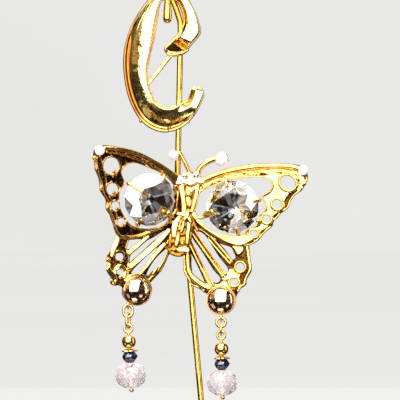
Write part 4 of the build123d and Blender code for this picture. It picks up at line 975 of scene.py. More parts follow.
def body():
    c = Cast(-8.0, 1.6, 34.2, 53.0, 1.15, 6.0, H)
    X, Z = c.X, c.Z
    # a low mass that everything stands on
    c.bar([(-2.35, 50.4), (-2.95, 46.8), (-3.55, 43.6)], [1.3, 1.35, 1.0], [1.2, 1.3, 1.1], [2.7, 2.7, 2.6], 0.2)
    c.bar([(-3.35, 43.2), (-4.35, 40), (-5.15, 36.8)], [1.0, 1.5, 1.35], [0.8, 0.95, 0.9], [2.5, 2.4, 2.3], 0.2)
    lump = hill(X, Z, 1.3, 0.35)
    c.slab(poly_sd(X, Z, spline(BODY_EDGE, 3, True)[:, :2]) + 0.08, 2.1, 3.66 + lump * 0.08, 0.3, 0.12)
    # head and shoulders, leaning back toward the top
    zc = (-2.75, 50.2)[1]
    c.slab(poly_sd(X, Z, spline(HEAD_EDGE, 3, True)[:, :2]), 2.6, 4.30 - 0.13 * (Z - zc) + lump * 0.07, 0.42, 0.15)
    c.ball(*(-3.79, 50.88), 4.1, 0.7, 0.2, 0.62, 0.55)
    c.ball(*(-1.43, 51.04), 4.1, 0.8, 0.2, 0.7, 0.6)

    def s(pts, half, hi, lean=(0.02, -0.10)):
        c.strip(pts, half, 2.7, hi, 0.20, 0.05, 6, lean)
    # thorax
    s([(-4.43, 49.2), (-4.27, 47.6), (-4.07, 46.2), (-3.95, 44.8), (-3.99, 43.1)], [0.52, 0.58, 0.50, 0.52, 0.44], 4.25)
    s([(-1.11, 49.1), (-1.47, 47.2), (-1.91, 45.4), (-2.39, 43.8)], [0.44, 0.40, 0.40, 0.36], 4.10)
    s([(-2.75, 46.1), (-2.83, 44.7)], 0.20, 3.95)
    s([(-3.83, 48.7), (-3.63, 47.9)], [0.42, 0.34], 3.95)
    s([(-1.45, 49.2), (-2.15, 47.9)], [0.3, 0.25], 4.05)
    # waist
    s([(-5.23, 43.28), (-3.99, 43.08), (-3.15, 42.6), (-2.63, 41.7)], [0.34, 0.42, 0.44, 0.34], 4.2)
    s([(-3.03, 43.9), (-3.31, 43), (-3.87, 42.2)], [0.32, 0.36, 0.3], 4.25)
    s([(-2.31, 43.76), (-1.95, 43.1), (-1.51, 42.32)], [0.40, 0.52, 0.42], 4.05)
    s([(-2.55, 42.3), (-1.91, 41.2), (-1.23, 39.92)], [0.40, 0.42, 0.30], 3.75)
    # abdomen
    s([(-4.87, 42.7), (-5.63, 41.5), (-5.91, 40.1), (-5.97, 38.8)], [0.44, 0.60, 0.58, 0.40], 4.0, (0.10, -0.12))
    s([(-3.91, 42.3), (-4.11, 41), (-4.47, 39.7)], [0.30, 0.30, 0.26], 4.1)
    s([(-4.63, 41.8), (-4.97, 40)], [0.20, 0.18], 3.95)
    s([(-2.87, 42.4), (-2.97, 40.8), (-3.19, 39.2), (-3.31, 37.4)], [0.40, 0.44, 0.40, 0.36], 4.0)
    s([(-2.23, 41.8), (-2.39, 40)], [0.26, 0.22], 3.75)
    # pale oval, left bar, end loop
    s([(-5.05, 39.08), (-5.25, 38.12), (-5.47, 37)], [0.32, 0.44, 0.34], 4.35, (0.05, -0.10))
    s([(-6.57, 39.1), (-6.69, 38), (-6.77, 36.7)], [0.32, 0.38, 0.34], 3.75)
    s([(-6.97, 36.28), (-6.65, 35.56), (-5.75, 35.06), (-4.75, 34.96), (-3.95, 35.36)], [0.34, 0.34, 0.32, 0.32, 0.34], 3.65)
    s([(-5.55, 36.7), (-5.83, 36)], 0.26, 3.8)
    s([(-4.91, 36.1), (-4.03, 36.24), (-3.23, 36)], [0.52, 0.62, 0.50], 3.9)
    return (*c.mesh(lambda x, z: 0 * x, 2, 0.0), c)


v, q, cb = body()
hq = -v[q, 1].mean(axis=1)
# faces low on the body take a darker warm gold: painted shade
rc = ((hq > 2.2) & (hq < 3.80)).astype(int)
# the top of the head takes a pale, whitish gold: painted highlight
rc[(hq >= 3.80) & (v[q, 2].mean(axis=1) > (-2.75, 49.32)[1])] = 2
make("butterfly_body_cast", v, q, "pin", [M["plate"], M["recess_warm"], M["plate_pale"]], ["butterfly_body"], mat_index=rc)

for nm, node, (x, z), d, r, m in (("thorax_bead_cast", "thorax_bead", (-3.03, 47.16), 4.35, 0.70, "plate"), ("abdomen_bead_cast", "abdomen_bead", (-4.29, 37.36), 4.15, 0.52, "plate"),
                                  ("left_wing_tip_bead_cast", "left_wing_tip_bead", (-20.55, 55.8), None, 1.02, "pearl"), ("right_wing_tip_bead_cast", "right_wing_tip_bead", (19.71, 51.92), None, 1.02, "pearl")):
    g = Geo()
    if d is None:
        s = 1 if x > 0 else -1
        d = wdepth(s, UPPER_BACK)(x, z) + 0.65
    mt = frame_mat(P(x, z, d), (0, -1, 0))
    prof = [(r * math.cos(math.radians(a)) * (1 - 0.03 * math.sin(math.radians(3 * a))), r * 0.94 * math.sin(math.radians(a))) for a in range(-84, 90, 12)]
    g.lathe(prof, mt, 32, closed_profile=False)
    ob = make(nm, g.v, g.f, "pin", M[m], [node])
    fix_normals(ob)

# ------------------------------------------------------------------ crescent
OUTER = [(-6.75, 74.7), (-3.95, 75.5), (-2.25, 77.3), (-0.59, 79.5), (-1.05, 82), (-1.95, 84.4), (-3.35, 86.7),
    (-5.35, 88.2), (-7.55, 88.8), (-9.75, 87.8), (-11.55, 85.8), (-13.15, 83.5), (-14.65, 80.8), (-15.55, 78),
    (-16.01, 75), (-16.01, 72), (-15.55, 68.6), (-14.65, 65.6), (-13.05, 62.6), (-10.75, 60.5), (-7.95, 59.64),
    (-5.35, 60.14), (-3.15, 61.6), (-1.45, 63.6), (-0.25, 66), (0.09, 67.5), (-0.55, 68.56)]
INNER = [(-7.79, 76.6), (-6.45, 77.6), (-5.35, 78.9), (-4.65, 80.2), (-4.11, 82), (-4.75, 84.5), (-5.55, 85.8),
    (-6.45, 86.2), (-7.35, 86.4), (-8.45, 85.7), (-8.95, 84.4), (-9.15, 82.6), (-9.45, 80.6), (-9.99, 77.8),
    (-10.75, 74.8), (-11.25, 72.2), (-11.05, 69.1), (-10.35, 67.2), (-9.75, 65.9), (-8.45, 64.9), (-7.35, 64.54),
    (-6.05, 64.7), (-4.65, 65.3), (-3.35, 66.2), (-2.75, 67.4), (-2.45, 68.2), (-1.75, 68.74)]
PER = 8
SO = spline(OUTER, PER)
SI = spline(INNER, PER)


def st(f):
    """point pair at station number f"""
    k = f * PER
    i = min(len(SO) - 2, int(k))
    t = k - i
    return SO[i] * (1 - t) + SO[i + 1] * t, SI[i] * (1 - t) + SI[i + 1] * t


def table(rows):
    """heights over f, smoothed so that reflections run evenly"""
    f = np.linspace(0, 1, 501)
    h = np.interp(f, [r[0] for r in rows], [r[1] for r in rows])
    k = np.exp(-0.5 * (np.arange(-24, 25) / 6.0) ** 2)
    k /= k.sum()
    hp = np.concatenate([np.full(24, h[0]), h, np.full(24, h[-1])])
    return f, np.convolve(hp, k, mode="valid")


# sections: the left limb, the bowl (rising all the way to its inner edge) and the two ends of the hook
SEC_A = table([(0.055, 0), (0.065, 0.12), (0.10, 0.30), (0.155, 0.46), (0.22, 0.60), (0.29, 0.72), (0.36, 0.81), (0.42, 0.865), (0.50, 0.92), (0.60, 0.965), (0.70, 0.99), (0.78, 1.0), (0.85, 0.995), (0.89, 0.96), (0.915, 0.86), (0.932, 0.62), (0.942, 0.3), (0.95, 0)])
SEC_B = table([(0.165, 0), (0.18, 0.12), (0.215, 0.26), (0.27, 0.40), (0.34, 0.53), (0.41, 0.63), (0.49, 0.73), (0.58, 0.82), (0.67, 0.89), (0.76, 0.945), (0.84, 0.98), (0.90, 1.0), (0.935, 0.99), (0.945, 0.8), (0.95, 0.35), (0.955, 0)])
SEC_C = table([(0.02, 0), (0.03, 0.60), (0.045, 0.84), (0.08, 0.95), (0.15, 0.99), (0.26, 1.0), (0.50, 1.0), (0.64, 0.98), (0.73, 0.93), (0.80, 0.84), (0.86, 0.67), (0.92, 0.42), (0.97, 0.15), (0.985, 0)])

SEC_D = table([(0.02, 0), (0.03, 0.60), (0.045, 0.84), (0.08, 0.95), (0.15, 0.99), (0.26, 1.0), (0.54, 1.0), (0.61, 0.985), (0.66, 0.92), (0.965, 0.08), (0.985, 0)])


def crescent_shell():
    g = Geo()
    rings = []
    F0, F1 = 1.10, 25.9
    n = 420
    m = 84
    for i in range(n + 1):
        f = F0 + (F1 - F0) * i / n
        o, w = st(f)
        wc = 1 - sm(5.2, 8.5, f)
        wd = sm(21.0, 23.2, f)
        wb = sm(11.2, 14.2, f) * (1 - sm(21.0, 23.2, f))
        wa = max(0.0, 1 - wc - wb - wd)
        # the cut mouth slopes down to the beak; the lower end rounds over
        up = sm(0.9, 2.1, f)
        e = max(0.0, (f - 22.9) / (F1 - 22.9))
        dn = math.sqrt(max(0.0, 1 - e ** 2.4))
        e2 = max(0.0, (f - 25.0) / (F1 - 25.0))
        sq = 0.45 + 0.55 * math.sqrt(max(0.0, 1 - e2 ** 2))
        hh = 2.78 * (0.22 + 0.78 * up) * (0.05 + 0.95 * dn)
        start = 0.055 * wa + 0.165 * wb + 0.02 * (wc + wd)
        end = 0.952 * (wa + wb) + 0.985 * (wc + wd)
        ring = []
        for j in range(m):
            t = 0.5 - 0.5 * math.cos(math.pi * j / (m - 1))
            t = 0.5 * t + 0.5 * j / (m - 1)
            fr = start + (end - start) * t
            hv = sum(wt * np.interp(fr, *tab) for wt, tab in ((wa, SEC_A), (wb, SEC_B), (wc, SEC_C), (wd, SEC_D)) if wt > 0)
            hv = max(0.0, min(1.0, float(hv)))
            if j in (0, m - 1):
                hv = 0.0
            fs = 0.5 + (fr - 0.5) * sq
            x, z = o + (w - o) * fs
            # brushed lines along the limb, small dents in the bowl
            edge = min(1.0, 4 * hv) * sm(0, 0.2, 1 - abs(2 * t - 1))
            lines = 0.026 * math.sin(fr * 58 + 2 * math.sin(f * 0.9)) + 0.014 * math.sin(fr * 97 + f) + 0.02 * noise.noise(Vector((fr * 24, f * 0.8, 3.3)))
            lw = 1.5 * wa * (1 - sm(0.32, 0.44, fr)) + wc * sm(0.66, 0.76, fr) * (1 - sm(20, 22, f)) * 1.4
            dent = 0.030 * noise.noise(Vector((x * 0.9, z * 0.9, 1.7))) + 0.020 * noise.noise(Vector((x * 2.1, z * 2.1, 5.1)))
            dw = (wb * 1.15 + wa * 0.10) * (1 - 0.88 * sm(0.60, 0.80, fr)) + (wc + wd) * 0.05
            ring.append(P(x, z, 0.78 + hh * hv + edge * (lines * lw + dent * dw * 1.6)))
        back = []
        for b in (0.93, 0.7, 0.5, 0.3, 0.10):
            fs = 0.5 + (b - 0.5) * sq
            back.append(P(*(o + (w - o) * fs), 0.70))
        rings.append(ring + back)
    g.rings(rings)
    return g


g = crescent_shell()
ob = make("crescent_shell_polished", g.v, g.f, "pin", M["scroll"], ["crescent_shell"])
fix_normals(ob)


def crescent_plate():
    g = Geo()
    sec = [(0.004, 0.43), (-0.004, 0.47), (-0.002, 0.53), (0.02, 0.66), (0.045, 0.79), (0.062, 0.85), (0.076, 0.84), (0.086, 0.76), (0.10, 0.72), (0.5, 0.72), (0.955, 0.72), (0.965, 0.78), (0.975, 0.83), (0.99, 0.81), (1.0, 0.74), (1.004, 0.62), (1.0, 0.50), (0.985, 0.42), (0.5, 0.40), (0.015, 0.40)]
    rings = []
    n = 208
    for i in range(n + 1):
        f = 26.0 * i / n
        o, w = st(f)
        L = float(np.linalg.norm(w - o))
        k = 6.0 / max(L, 1.2)
        ring = []
        for fr, d in sec:
            fr2 = fr * k if fr < 0.2 else (1 - (1 - fr) * k if fr > 0.8 else fr)
            x, z = o + (w - o) * fr2
            ring.append(P(x, z, d))
        rings.append(ring)
    g.rings(rings)
    return g


g = crescent_plate()
# the beak: raised rim round the cut mouth, and the foot
beak = spline([(-4.45, 80.1), (-5.27, 78.8), (-6.43, 77.6), (-7.59, 76.6), (-7.51, 75.9), (-7.03, 75.24), (-6.55, 75.08),
    (-5.35, 75.24), (-4.15, 75.56), (-3.25, 76.1)], 6)
rads = np.interp(np.linspace(0, 1, len(beak)), [0, 0.1, 0.3, 0.42, 0.5, 0.62, 0.8, 1.0], [0.22, 0.30, 0.34, 0.34, 0.3, 0.42, 0.44, 0.34])
dep = np.interp(np.linspace(0, 1, len(beak)), [0, 0.25, 0.5, 0.8, 1.0], [1.5, 1.15, 0.95, 0.95, 1.1])
g.tube([P(p[0], p[1], d) for p, d in zip(beak, dep)], list(rads), 14, m=0)
# raised outer edge, and a second line beside it round the bowl
ek = [0.7 + (26.0 - 0.7) * i / 240 for i in range(241)]
rows = []
for f in ek:
    o, w = st(f)
    L = float(np.linalg.norm(w - o))
    x, z = o + (w - o) * (0.20 / max(L, 1.0))
    rows.append((x, z, 0.66 + 0.20 * sm(11, 14, f), (0.08 + 0.24 * sm(11, 14, f) * (1 - 0.5 * sm(21, 24, f))) * (1 - 0.85 * math.exp(-((f - 20.46) / 0.10) ** 2))))
g.tube([P(r[0], r[1], r[2]) for r in rows], [r[3] for r in rows], 12)
ek = [11.0 + (23.5 - 11.0) * i / 140 for i in range(141)]
rows = []
for f in ek:
    o, w = st(f)
    L = float(np.linalg.norm(w - o))
    x, z = o + (w - o) * (0.80 / max(L, 1.0))
    rows.append((x, z, 1.02, (0.30 * sm(10.8, 12.5, f) * (1 - sm(22.5, 23.6, f)) + 0.04) * (1 - 0.85 * math.exp(-((f - 20.40) / 0.10) ** 2))))
g.tube([P(r[0], r[1], r[2]) for r in rows], [r[3] for r in rows], 12)
# small drips of plating on the inner edge of the bowl
for (x, z), r in (((-10.51, 67.6), 0.28), ((-9.79, 66.04), 0.30), ((-8.45, 64.94), 0.24), ((-6.25, 64.76), 0.24), ((-11.51, 70.5), 0.28), ((-12.61, 61.84), 0.36), ((-3.03, 61.6), 0.26)):
    mt = frame_mat(P(x, z, 0.80), (0, -1, 0))
    g.lathe([(r * math.cos(math.radians(a)), r * 0.7 * math.sin(math.radians(a))) for a in range(-80, 90, 16)], mt, 14, closed_profile=False)
ob = make("crescent_back_plate_edged", g.v, g.f, "pin", M["scroll_edge"], ["crescent_back_plate"])
fix_normals(ob)

# painted shadow: a near-black floor closing the open mouth
mouth = spline([(-4.85, 78.6), (-6.05, 77.48), (-7.15, 76.5), (-6.95, 75.9), (-5.75, 75.76), (-4.35, 76.08), (-3.65, 77)], 5, True)
g = Geo()
n = len(mouth)
g.add([P(p[0], p[1], 0.86) for p in mouth] + [P(p[0], p[1], 0.70) for p in mouth], [tuple(range(n)), tuple(range(2 * n - 1, n - 1, -1))] + [(i, (i + 1) % n, n + (i + 1) % n, n + i) for i in range(n)])
ob = make("crescent_mouth_floor", g.v, g.f, "pin", M["hollow"], [], smooth=False)
fix_normals(ob)

# brace strip
g = Geo()
a, b = (-11.23, 69.2), (-6.71, 74.96)
ln = math.hypot(b[0] - a[0], b[1] - a[1])
ux, uz = (b[0] - a[0]) / ln, (b[1] - a[1]) / ln
rings = []
for t, wv in ((0, 0.30), (0.012, 0.42), (0.03, 0.46), (0.25, 0.44), (0.5, 0.45), (0.75, 0.44), (0.97, 0.45), (0.99, 0.42), (1, 0.30)):
    cx, cz = a[0] + ux * ln * t, a[1] + uz * ln * t
    sec = [(-1, 0.55), (-1, 0.95), (-0.86, 1.06), (-0.4, 1.10), (0.4, 1.10), (0.86, 1.06), (1, 0.95), (1, 0.55), (0.8, 0.50), (-0.8, 0.50)]
    rings.append([P(cx - uz * wv * s, cz + ux * wv * s, d) for s, d in sec])
g.rings(rings)
ob = make("crescent_brace_strip", g.v, g.f, "pin", M["scroll_edge"], ["crescent_brace"])
fix_normals(ob)

# ------------------------------------------------------------------ stem
R0 = 0.60
path = []


def st_add(x, z, d, a, b=None):
    path.append((x, -d, z, a, b if b is not None else a))


tx, tz = 3.852, -42.0
sx, sz = -3.08, 33.6
dx = (2.936 - sx) / (33.6 + 32.0)
for z, r in ((-41.95, 0.10), (-41.7, 0.17), (-40.5, 0.22), (-38, 0.33), (-35, 0.46), (-32.6, 0.575), (-31, 0.60), (-20, 0.60), (-8, 0.605), (4, 0.60), (16, 0.60), (26, 0.60), (31.5, 0.60), (33.2, 0.60)):
    st_add(sx + dx * (33.6 - z), z, 0, r)
for (x, z), a, b in (((-3.25, 34.8), 0.85, 0.44), ((-3.45, 36.2), 1.12, 0.36), ((-3.91, 38.8), 1.2, 0.35), ((-4.63, 43.0), 1.2, 0.35), ((-5.13, 47.2), 1.18, 0.35), ((-5.25, 48.9), 0.9, 0.40), ((-5.27, 50.3), 0.62, 0.52), ((-5.255, 51.6), 0.60, 0.60)):
    st_add(x, z, 0, a, b)
for z in (56, 62, 68, 74, 79):
    t = (z - 50.4) / (81.6 - 50.4)
    st_add(-5.27 + 0.64 * t, z, 0, R0)
for x, z, d in ((-4.70, 81.4, 0), (-5.10, 83.0, 0), (-5.66, 84.7, 0), (-6.35, 86.4, 0), (-6.82, 87.8, 0.02), (-7.00, 88.9, 0.35), (-7.06, 89.45, 1.1), (-7.08, 89.62, 2.2), (-7.10, 89.55, 3.4), (-7.12, 89.1, 4.3), (-7.15, 88.2, 4.70), (-7.18, 87.0, 4.75)):
    st_add(x, z, d, R0)
for z, r in ((85.8, 0.63), (84.6, 0.74), (83.5, 0.88), (82.7, 0.92), (82.1, 0.92)):
    st_add(-7.22, z, 4.75, r)
s = spline(path, 6)
g = Geo()
g.tube([Vector(p[:3]) for p in s], [(max(0.08, p[3]), max(0.08, p[4])) for p in s], 24)
ob = make("pin_stem_wire", g.v, g.f, "pin", M["pin"], ["pin_stem"])
fix_normals(ob)

# solder between pad and butterfly: an uneven run of metal, coloured as gold in shadow (painted shade)
def solder():
    c = Cast(-7.0, -1.4, 35.6, 47.8, 0.2, 3.2, 0.14)
    for (x, z), r, d, dd in (((-5.0, 46.2), 1.05, 1.4, 1.15), ((-4.75, 44.2), 1.1, 1.5, 1.2), ((-4.5, 41.9), 1.0, 1.05, 0.8), ((-4.15, 39.6), 1.05, 1.0, 0.75), ((-3.8, 37.6), 0.95, 0.95, 0.7)):
        c.ball(x, z, d, r, 0.5, r * 1.25, dd)
    return c.mesh(lambda x, z: 0 * x, 3)


v, q = solder()
make("solder_run", v, q, "pin", M["hollow"], ["solder_joint"])

# ------------------------------------------------------------------ antennae
g = Geo()
s = spline([(*P(*(-2.63, 50.8), 3.5), 0.46, 0.42), (*P(*(-3.03, 51.9), 3.6), 0.44, 0.4), (*P(*(-3.63, 53.2), 3.75), 0.42, 0.38), (*P(*(-4.23, 54.4), 3.85), 0.42, 0.38), (*P(*(-4.79, 55.24), 3.9), 0.46, 0.4), (*P(*(-5.43, 55.32), 3.9), 0.42, 0.38)], 6)
g.tube([Vector(p[:3]) for p in s], [(p[3], p[4]) for p in s], 18)
ob = make("left_antenna_wire", g.v, g.f, "pin", M["plate"], ["left_antenna"])
fix_normals(ob)
g = Geo()
s = spline([(*P(*(-1.45, 50.8), 3.5), 0.62, 0.58), (*P(*(-0.99, 51.9), 3.6), 0.60, 0.56), (*P(*(-0.23, 52.88), 3.75), 0.60, 0.56), (*P(*(0.85, 53.64), 3.85), 0.60, 0.56), (*P(*(1.97, 54.12), 3.95), 0.60, 0.56), (*P(*(2.77, 54.24), 4.0), 0.56, 0.5)], 6)
g.tube([Vector(p[:3]) for p in s], [(p[3], p[4]) for p in s], 20)
ob = make("right_antenna_wire", g.v, g.f, "pin", M["plate"], ["right_antenna"])
fix_normals(ob)


# ------------------------------------------------------------------ cut stones
def brilliant(mat, R, crown, girdle, pav, table=0.56, n=8, culet=0.04, lower=0.80, zg=0.0, tip=0.0):
    """round brilliant: table, stars, kites, upper and lower halves, mains"""
    pts, rows = [], []

    def ring(r, z, cnt, ph, tp=0.0):
        a = [mat @ Vector((r * math.cos(2 * math.pi * (k + ph) / cnt), r * math.sin(2 * math.pi * (k + ph) / cnt), z + tp * r * math.sin(2 * math.pi * (k + ph) / cnt))) for k in range(cnt)]
        i0 = len(pts)
        pts.extend(a)
        rows.append(list(range(i0, i0 + cnt)))
        return rows[-1]
    zt = zg + girdle + crown
    T = ring(R * table, zt, n, 0, tip)
    K = ring(R * (table + (1 - table) * 0.46), zg + girdle + crown * 0.60, n, 0.5, tip * 0.7)
    G1 = ring(R, zg + girdle, 2 * n, 0.0)
    G0 = ring(R, zg, 2 * n, 0.0)
    L = ring(R * (1 - lower), zg - pav * lower, 2 * n, 0.0)
    C = ring(R * culet, zg - pav, 2 * n, 0.0)
    f = [tuple(T)]
    for k in range(n):
        k1 = (k + 1) % n
        f.append((T[k], K[k], T[k1]))                     # star
        f.append((T[k], K[k - 1], G1[2 * k], K[k]))       # kite
        f.append((K[k], G1[2 * k], G1[(2 * k + 1) % (2 * n)]))
        f.append((K[k], G1[(2 * k + 1) % (2 * n)], G1[(2 * k + 2) % (2 * n)]))
    for k in range(2 * n):
        k1 = (k + 1) % (2 * n)
        f.append((G1[k], G0[k], G0[k1], G1[k1]))
    # pavilion: mains every other, halves between
    for k in range(n):
        a, b, c2 = 2 * k, (2 * k + 1) % (2 * n), (2 * k + 2) % (2 * n)
        f.append((G0[a], L[a], L[b]))
        f.append((G0[a], L[b], G0[b]))
        f.append((G0[b], L[b], L[c2]))
        f.append((G0[b], L[c2], G0[c2]))
        f.append((L[a], C[a], C[b], L[b]))
        f.append((L[b], C[b], C[c2], L[c2]))
    f.append(tuple(reversed(C)))
    return pts, f


CRYS = {1: (6.03, 44.58), -1: (-11.35, 46.2)}
for side, nm in ((1, "right"), (-1, "left")):
    cx, cz = CRYS[side]
    n = wnormal(side)
    d = wdepth(side, UPPER_BACK)(cx, cz)
    rot = Matrix.Rotation(math.radians(12 if side > 0 else -8), 4, "Z")
    mt = frame_mat(P(cx, cz, d), n) @ rot
    pts, f = brilliant(mt, 5.28, 1.55, 0.28, 3.0, 0.54, 8, 0.05, 0.78, 1.62, 0.12 if side > 0 else 0.0)
    # facets given painted highlights (whitish glass), painted shade (grey glass) or left clear, by where they sit on
    # the stone
    origin = P(cx, cz, d)
    tone = []
    for i, fc in enumerate(f):
        m = sum((Vector(pts[k]) for k in fc), Vector()) / len(fc)
        hgt = (m - origin).dot(n)
        a = math.degrees(math.atan2(m.z - cz, m.x - cx)) % 360
        r = math.hypot(m.x - cx, m.z - cz)
        h = (math.sin(i * 12.9898 + side * 4.1) * 43758.5453) % 1.0
        t = 0
        if len(fc) == 8 or r < 0.5:
            t = 0
        elif side < 0:
            if hgt > 1.75:
                if 75 < a < 235:
                    t = 1 if h > 0.35 else 0
                elif 20 < a <= 75:
                    t = 1 if h > 0.6 else (2 if h > 0.3 else 0)
                else:
                    t = 2 if h > 0.7 else 0
            else:
                if 85 < a < 250:
                    t = 1 if h > 0.30 else 2
                elif 10 < a <= 85:
                    t = 1 if h > 0.55 else 2
                else:
                    t = 2 if h > 0.75 else 0
        else:
            if hgt > 1.75:
                if 5 < a < 80:
                    t = 1 if h > 0.35 else 0
                elif 150 < a < 215:
                    t = 1 if h > 0.70 else 0
                elif 230 < a < 300:
                    t = 2 if h > 0.5 else 0
                else:
                    t = 2 if h > 0.7 else 0
            else:
                if 5 < a < 70:
                    t = 1 if h > 0.3 else 2
                elif 80 < a < 130:
                    t = 2 if h > 0.5 else 0
                else:
                    t = 1 if h > 0.90 else (2 if h > 0.75 else 0)
        tone.append(t)
    ob = make(f"{nm}_crystal_cut", pts, f, "pin", [M["crystal"], M["crystal_bright"], M["crystal_grey"]], [f"{nm}_crystal"], smooth=False, mat_index=tone)
    fix_normals(ob)
    # setting: seat ring, arm and claws
    g = Geo()
    mt = frame_mat(P(cx, cz, d), n)
    ring = [mt @ Vector((4.35 * math.cos(2 * math.pi * k / 72), 4.35 * math.sin(2 * math.pi * k / 72), 0.42)) for k in range(72)]
    g.tube(ring, [(0.36, 0.30)] * 72, 14, True, up=tuple(n))
    claws = {1: ((194, 0.50, 1.25), (282, 0.34, 0.9), (14, 0.34, 0.8), (104, 0.34, 0.9)), -1: ((323, 0.52, 0.9), (243, 0.34, 0.8), (143, 0.26, 4.0), (58, 0.34, 0.9))}[side]
    for ang, r, reach in claws:
        a = math.radians(ang)
        rad = Vector((math.cos(a), math.sin(a), 0))
        prof = [(4.35, 0.45), (5.2, 0.6), (5.62, 1.2), (5.72, 1.9), (5.50, 2.30), (5.12, 2.52)]
        if reach < 2:
            prof += [(5.28 - reach, 2.52 + reach * 0.42)]
        else:
            prof += [(4.6, 2.78), (3.9, 3.12), (3.2, 3.48), (2.6, 3.68), (5.28 - reach, 3.70)]
        sp = spline([(p, h, r * (1.0 if i < 4 else 1.05)) for i, (p, h) in enumerate(prof)], 5)
        g.tube([mt @ (rad * p[0] + Vector((0, 0, p[1]))) for p in sp], [(p[2], p[2] * 0.72) for p in sp], 14, up=tuple(n))
    if side > 0:
        arm = spline([(*P(*(-1.75, 42.5), wdepth(1, 3.0)(*(-1.75, 42.5))), 0.45), (*P(*(-0.45, 42.56), wdepth(1, 3.15)(*(-0.45, 42.56))), 0.42), (*P(*(0.55, 42.92), wdepth(1, 3.4)(*(0.55, 42.92))), 0.46), (*P(*(1.55, 43.08), wdepth(1, 4.3)(*(1.55, 43.08))), 0.5)], 6)
    else:
        arm = spline([(*P(*(-5.65, 43.7), wdepth(-1, 3.2)(*(-5.65, 43.7))), 0.46), (*P(*(-6.47, 43.08), wdepth(-1, 3.2)(*(-6.47, 43.08))), 0.34), (*P(*(-7.25, 43.5), wdepth(-1, 3.5)(*(-7.25, 43.5))), 0.42), (*P(*(-8.19, 43.92), wdepth(-1, 4.3)(*(-8.19, 43.92))), 0.58)], 6)
    g.tube([Vector(p[:3]) for p in arm], [p[3] for p in arm], 14)
    if side < 0:
        for (x, z), r, dd in (((-5.59, 43.76), 0.52, 3.3), ((-8.31, 43.96), 0.86, 4.55), ((-9.27, 42.68), 0.5, 4.2), ((-13.03, 41.44), 0.5, 4.0)):
            mb = frame_mat(P(x, z, wdepth(-1, dd)(x, z)), n)
            g.lathe([(r * math.cos(math.radians(t)), r * 0.75 * math.sin(math.radians(t))) for t in range(-80, 90, 16)], mb, 18, closed_profile=False)
    else:
        for (x, z), r, dd in (((1.93, 43.48), 0.78, 4.5), ((6.77, 40.16), 0.42, 4.2), ((10.75, 41.9), 0.42, 3.6)):
            mb = frame_mat(P(x, z, wdepth(1, dd)(x, z)), n)
            g.lathe([(r * math.cos(math.radians(t)), r * 0.75 * math.sin(math.radians(t))) for t in range(-80, 90, 16)], mb, 18, closed_profile=False)
    ob = make(f"{nm}_crystal_claws", g.v, g.f, "pin", M["plate"], [f"{nm}_crystal_setting"])
    fix_normals(ob)

# small stones on the antennae
for nm, (x, z), r, d in (("left", (-6.09, 54.88), 1.0, BODY_D + 0.75), ("right", (3.59, 54.1), 1.35, BODY_D + 0.85)):
    mt = frame_mat(P(x, z, d), (0, -1, 0))
    pts, f = brilliant(mt, r, 0.52 * r, 0.12, 0.50 * r, 0.5, 6, 0.06, 0.7, 0.08)
    ob = make(f"{nm}_antenna_stone_cut", pts, f, "pin", M["stone"], [f"{nm}_antenna_stone"], smooth=False)
    fix_normals(ob)
    g = Geo()
    g.lathe([(0.02, -0.58 * r - 0.22), (0.55 * r, -0.58 * r - 0.22), (0.72 * r, -0.52 * r - 0.1), (r + 0.06, -0.08), (r + 0.11, 0.06), (r + 0.10, 0.20), (r + 0.03, 0.25), (r + 0.0, 0.10), (0.97 * r, 0.03), (0.55 * r, -0.54 * r), (0.02, -0.56 * r)], mt, 36, closed_profile=False)
    ob = make(f"{nm}_antenna_cup_round", g.v, g.f, "pin", M["cup"], [f"{nm}_antenna_cup"])
    fix_normals(ob)

# ------------------------------------------------------------------ domes, cups, lugs
DOME = {1: (3.55, 26.02), -1: (-13.43, 28.02)}
LUG = {1: (3.43, 22.64), -1: (-15.07, 25.18)}
LUG_D = {}
for side, nm in ((1, "right"), (-1, "left")):
    cx, cz = DOME[side]
    n = wnormal(side)
    d = wdepth(side, LOWER_BACK)(cx, cz) + 0.9
    mt = frame_mat(P(cx, cz, d), n)
    g = Geo()
    prof = [(0.02, 0.34), (2.2, 0.34), (2.70, 0.40), (2.74, 0.75)]
    for i in range(1, 16):
        a = math.radians(6 * i)
        prof.append((2.74 * math.cos(a), 0.75 + 1.98 * math.sin(a)))
    g.lathe(prof, mt, 72, closed_profile=False)
    ob = make(f"{nm}_dome_polished", g.v, g.f, "pin", M["dome"], [f"{nm}_dome"])
    fix_normals(ob)
    g = Geo()
    g.lathe([(0.05, 0.02), (2.6, 0.02), (2.90, 0.10), (2.97, 0.30), (2.98, 0.62), (3.00, 0.80), (2.985, 0.96), (2.90, 1.02), (2.80, 0.98), (2.765, 0.80), (2.76, 0.30), (0.05, 0.30)], mt, 72, wob=lambda a, k: 0.006 * math.sin(5 * a + k) if k < 9 else 0.0)
    ob = make(f"{nm}_dome_cup_turned", g.v, g.f, "pin", M["cup"], [f"{nm}_dome_cup"])
    fix_normals(ob)
    LUG_D[side] = d + 0.55
    lx, lz = LUG[side]
    g = Geo()
    ring = [P(lx, lz + 0.72 * math.cos(2 * math.pi * k / 40), LUG_D[side] + 0.72 * math.sin(2 * math.pi * k / 40)) for k in range(40)]
    g.tube(ring, 0.24, 16, True, up=(1, 0, 0))
    vx, vz = cx - lx, cz - lz
    vl = math.hypot(vx, vz)
    g.tube([P(lx + vx / vl * (0.66 + t), lz + vz / vl * (0.66 + t), LUG_D[side] - 0.06 * t) for t in (0, 0.3, 0.6, 0.9)], [0.26, 0.25, 0.26, 0.30], 14)
    ob = make(f"{nm}_lug_loop", g.v, g.f, "pin", M["chain"], [f"{nm}_lug"])
    fix_normals(ob)

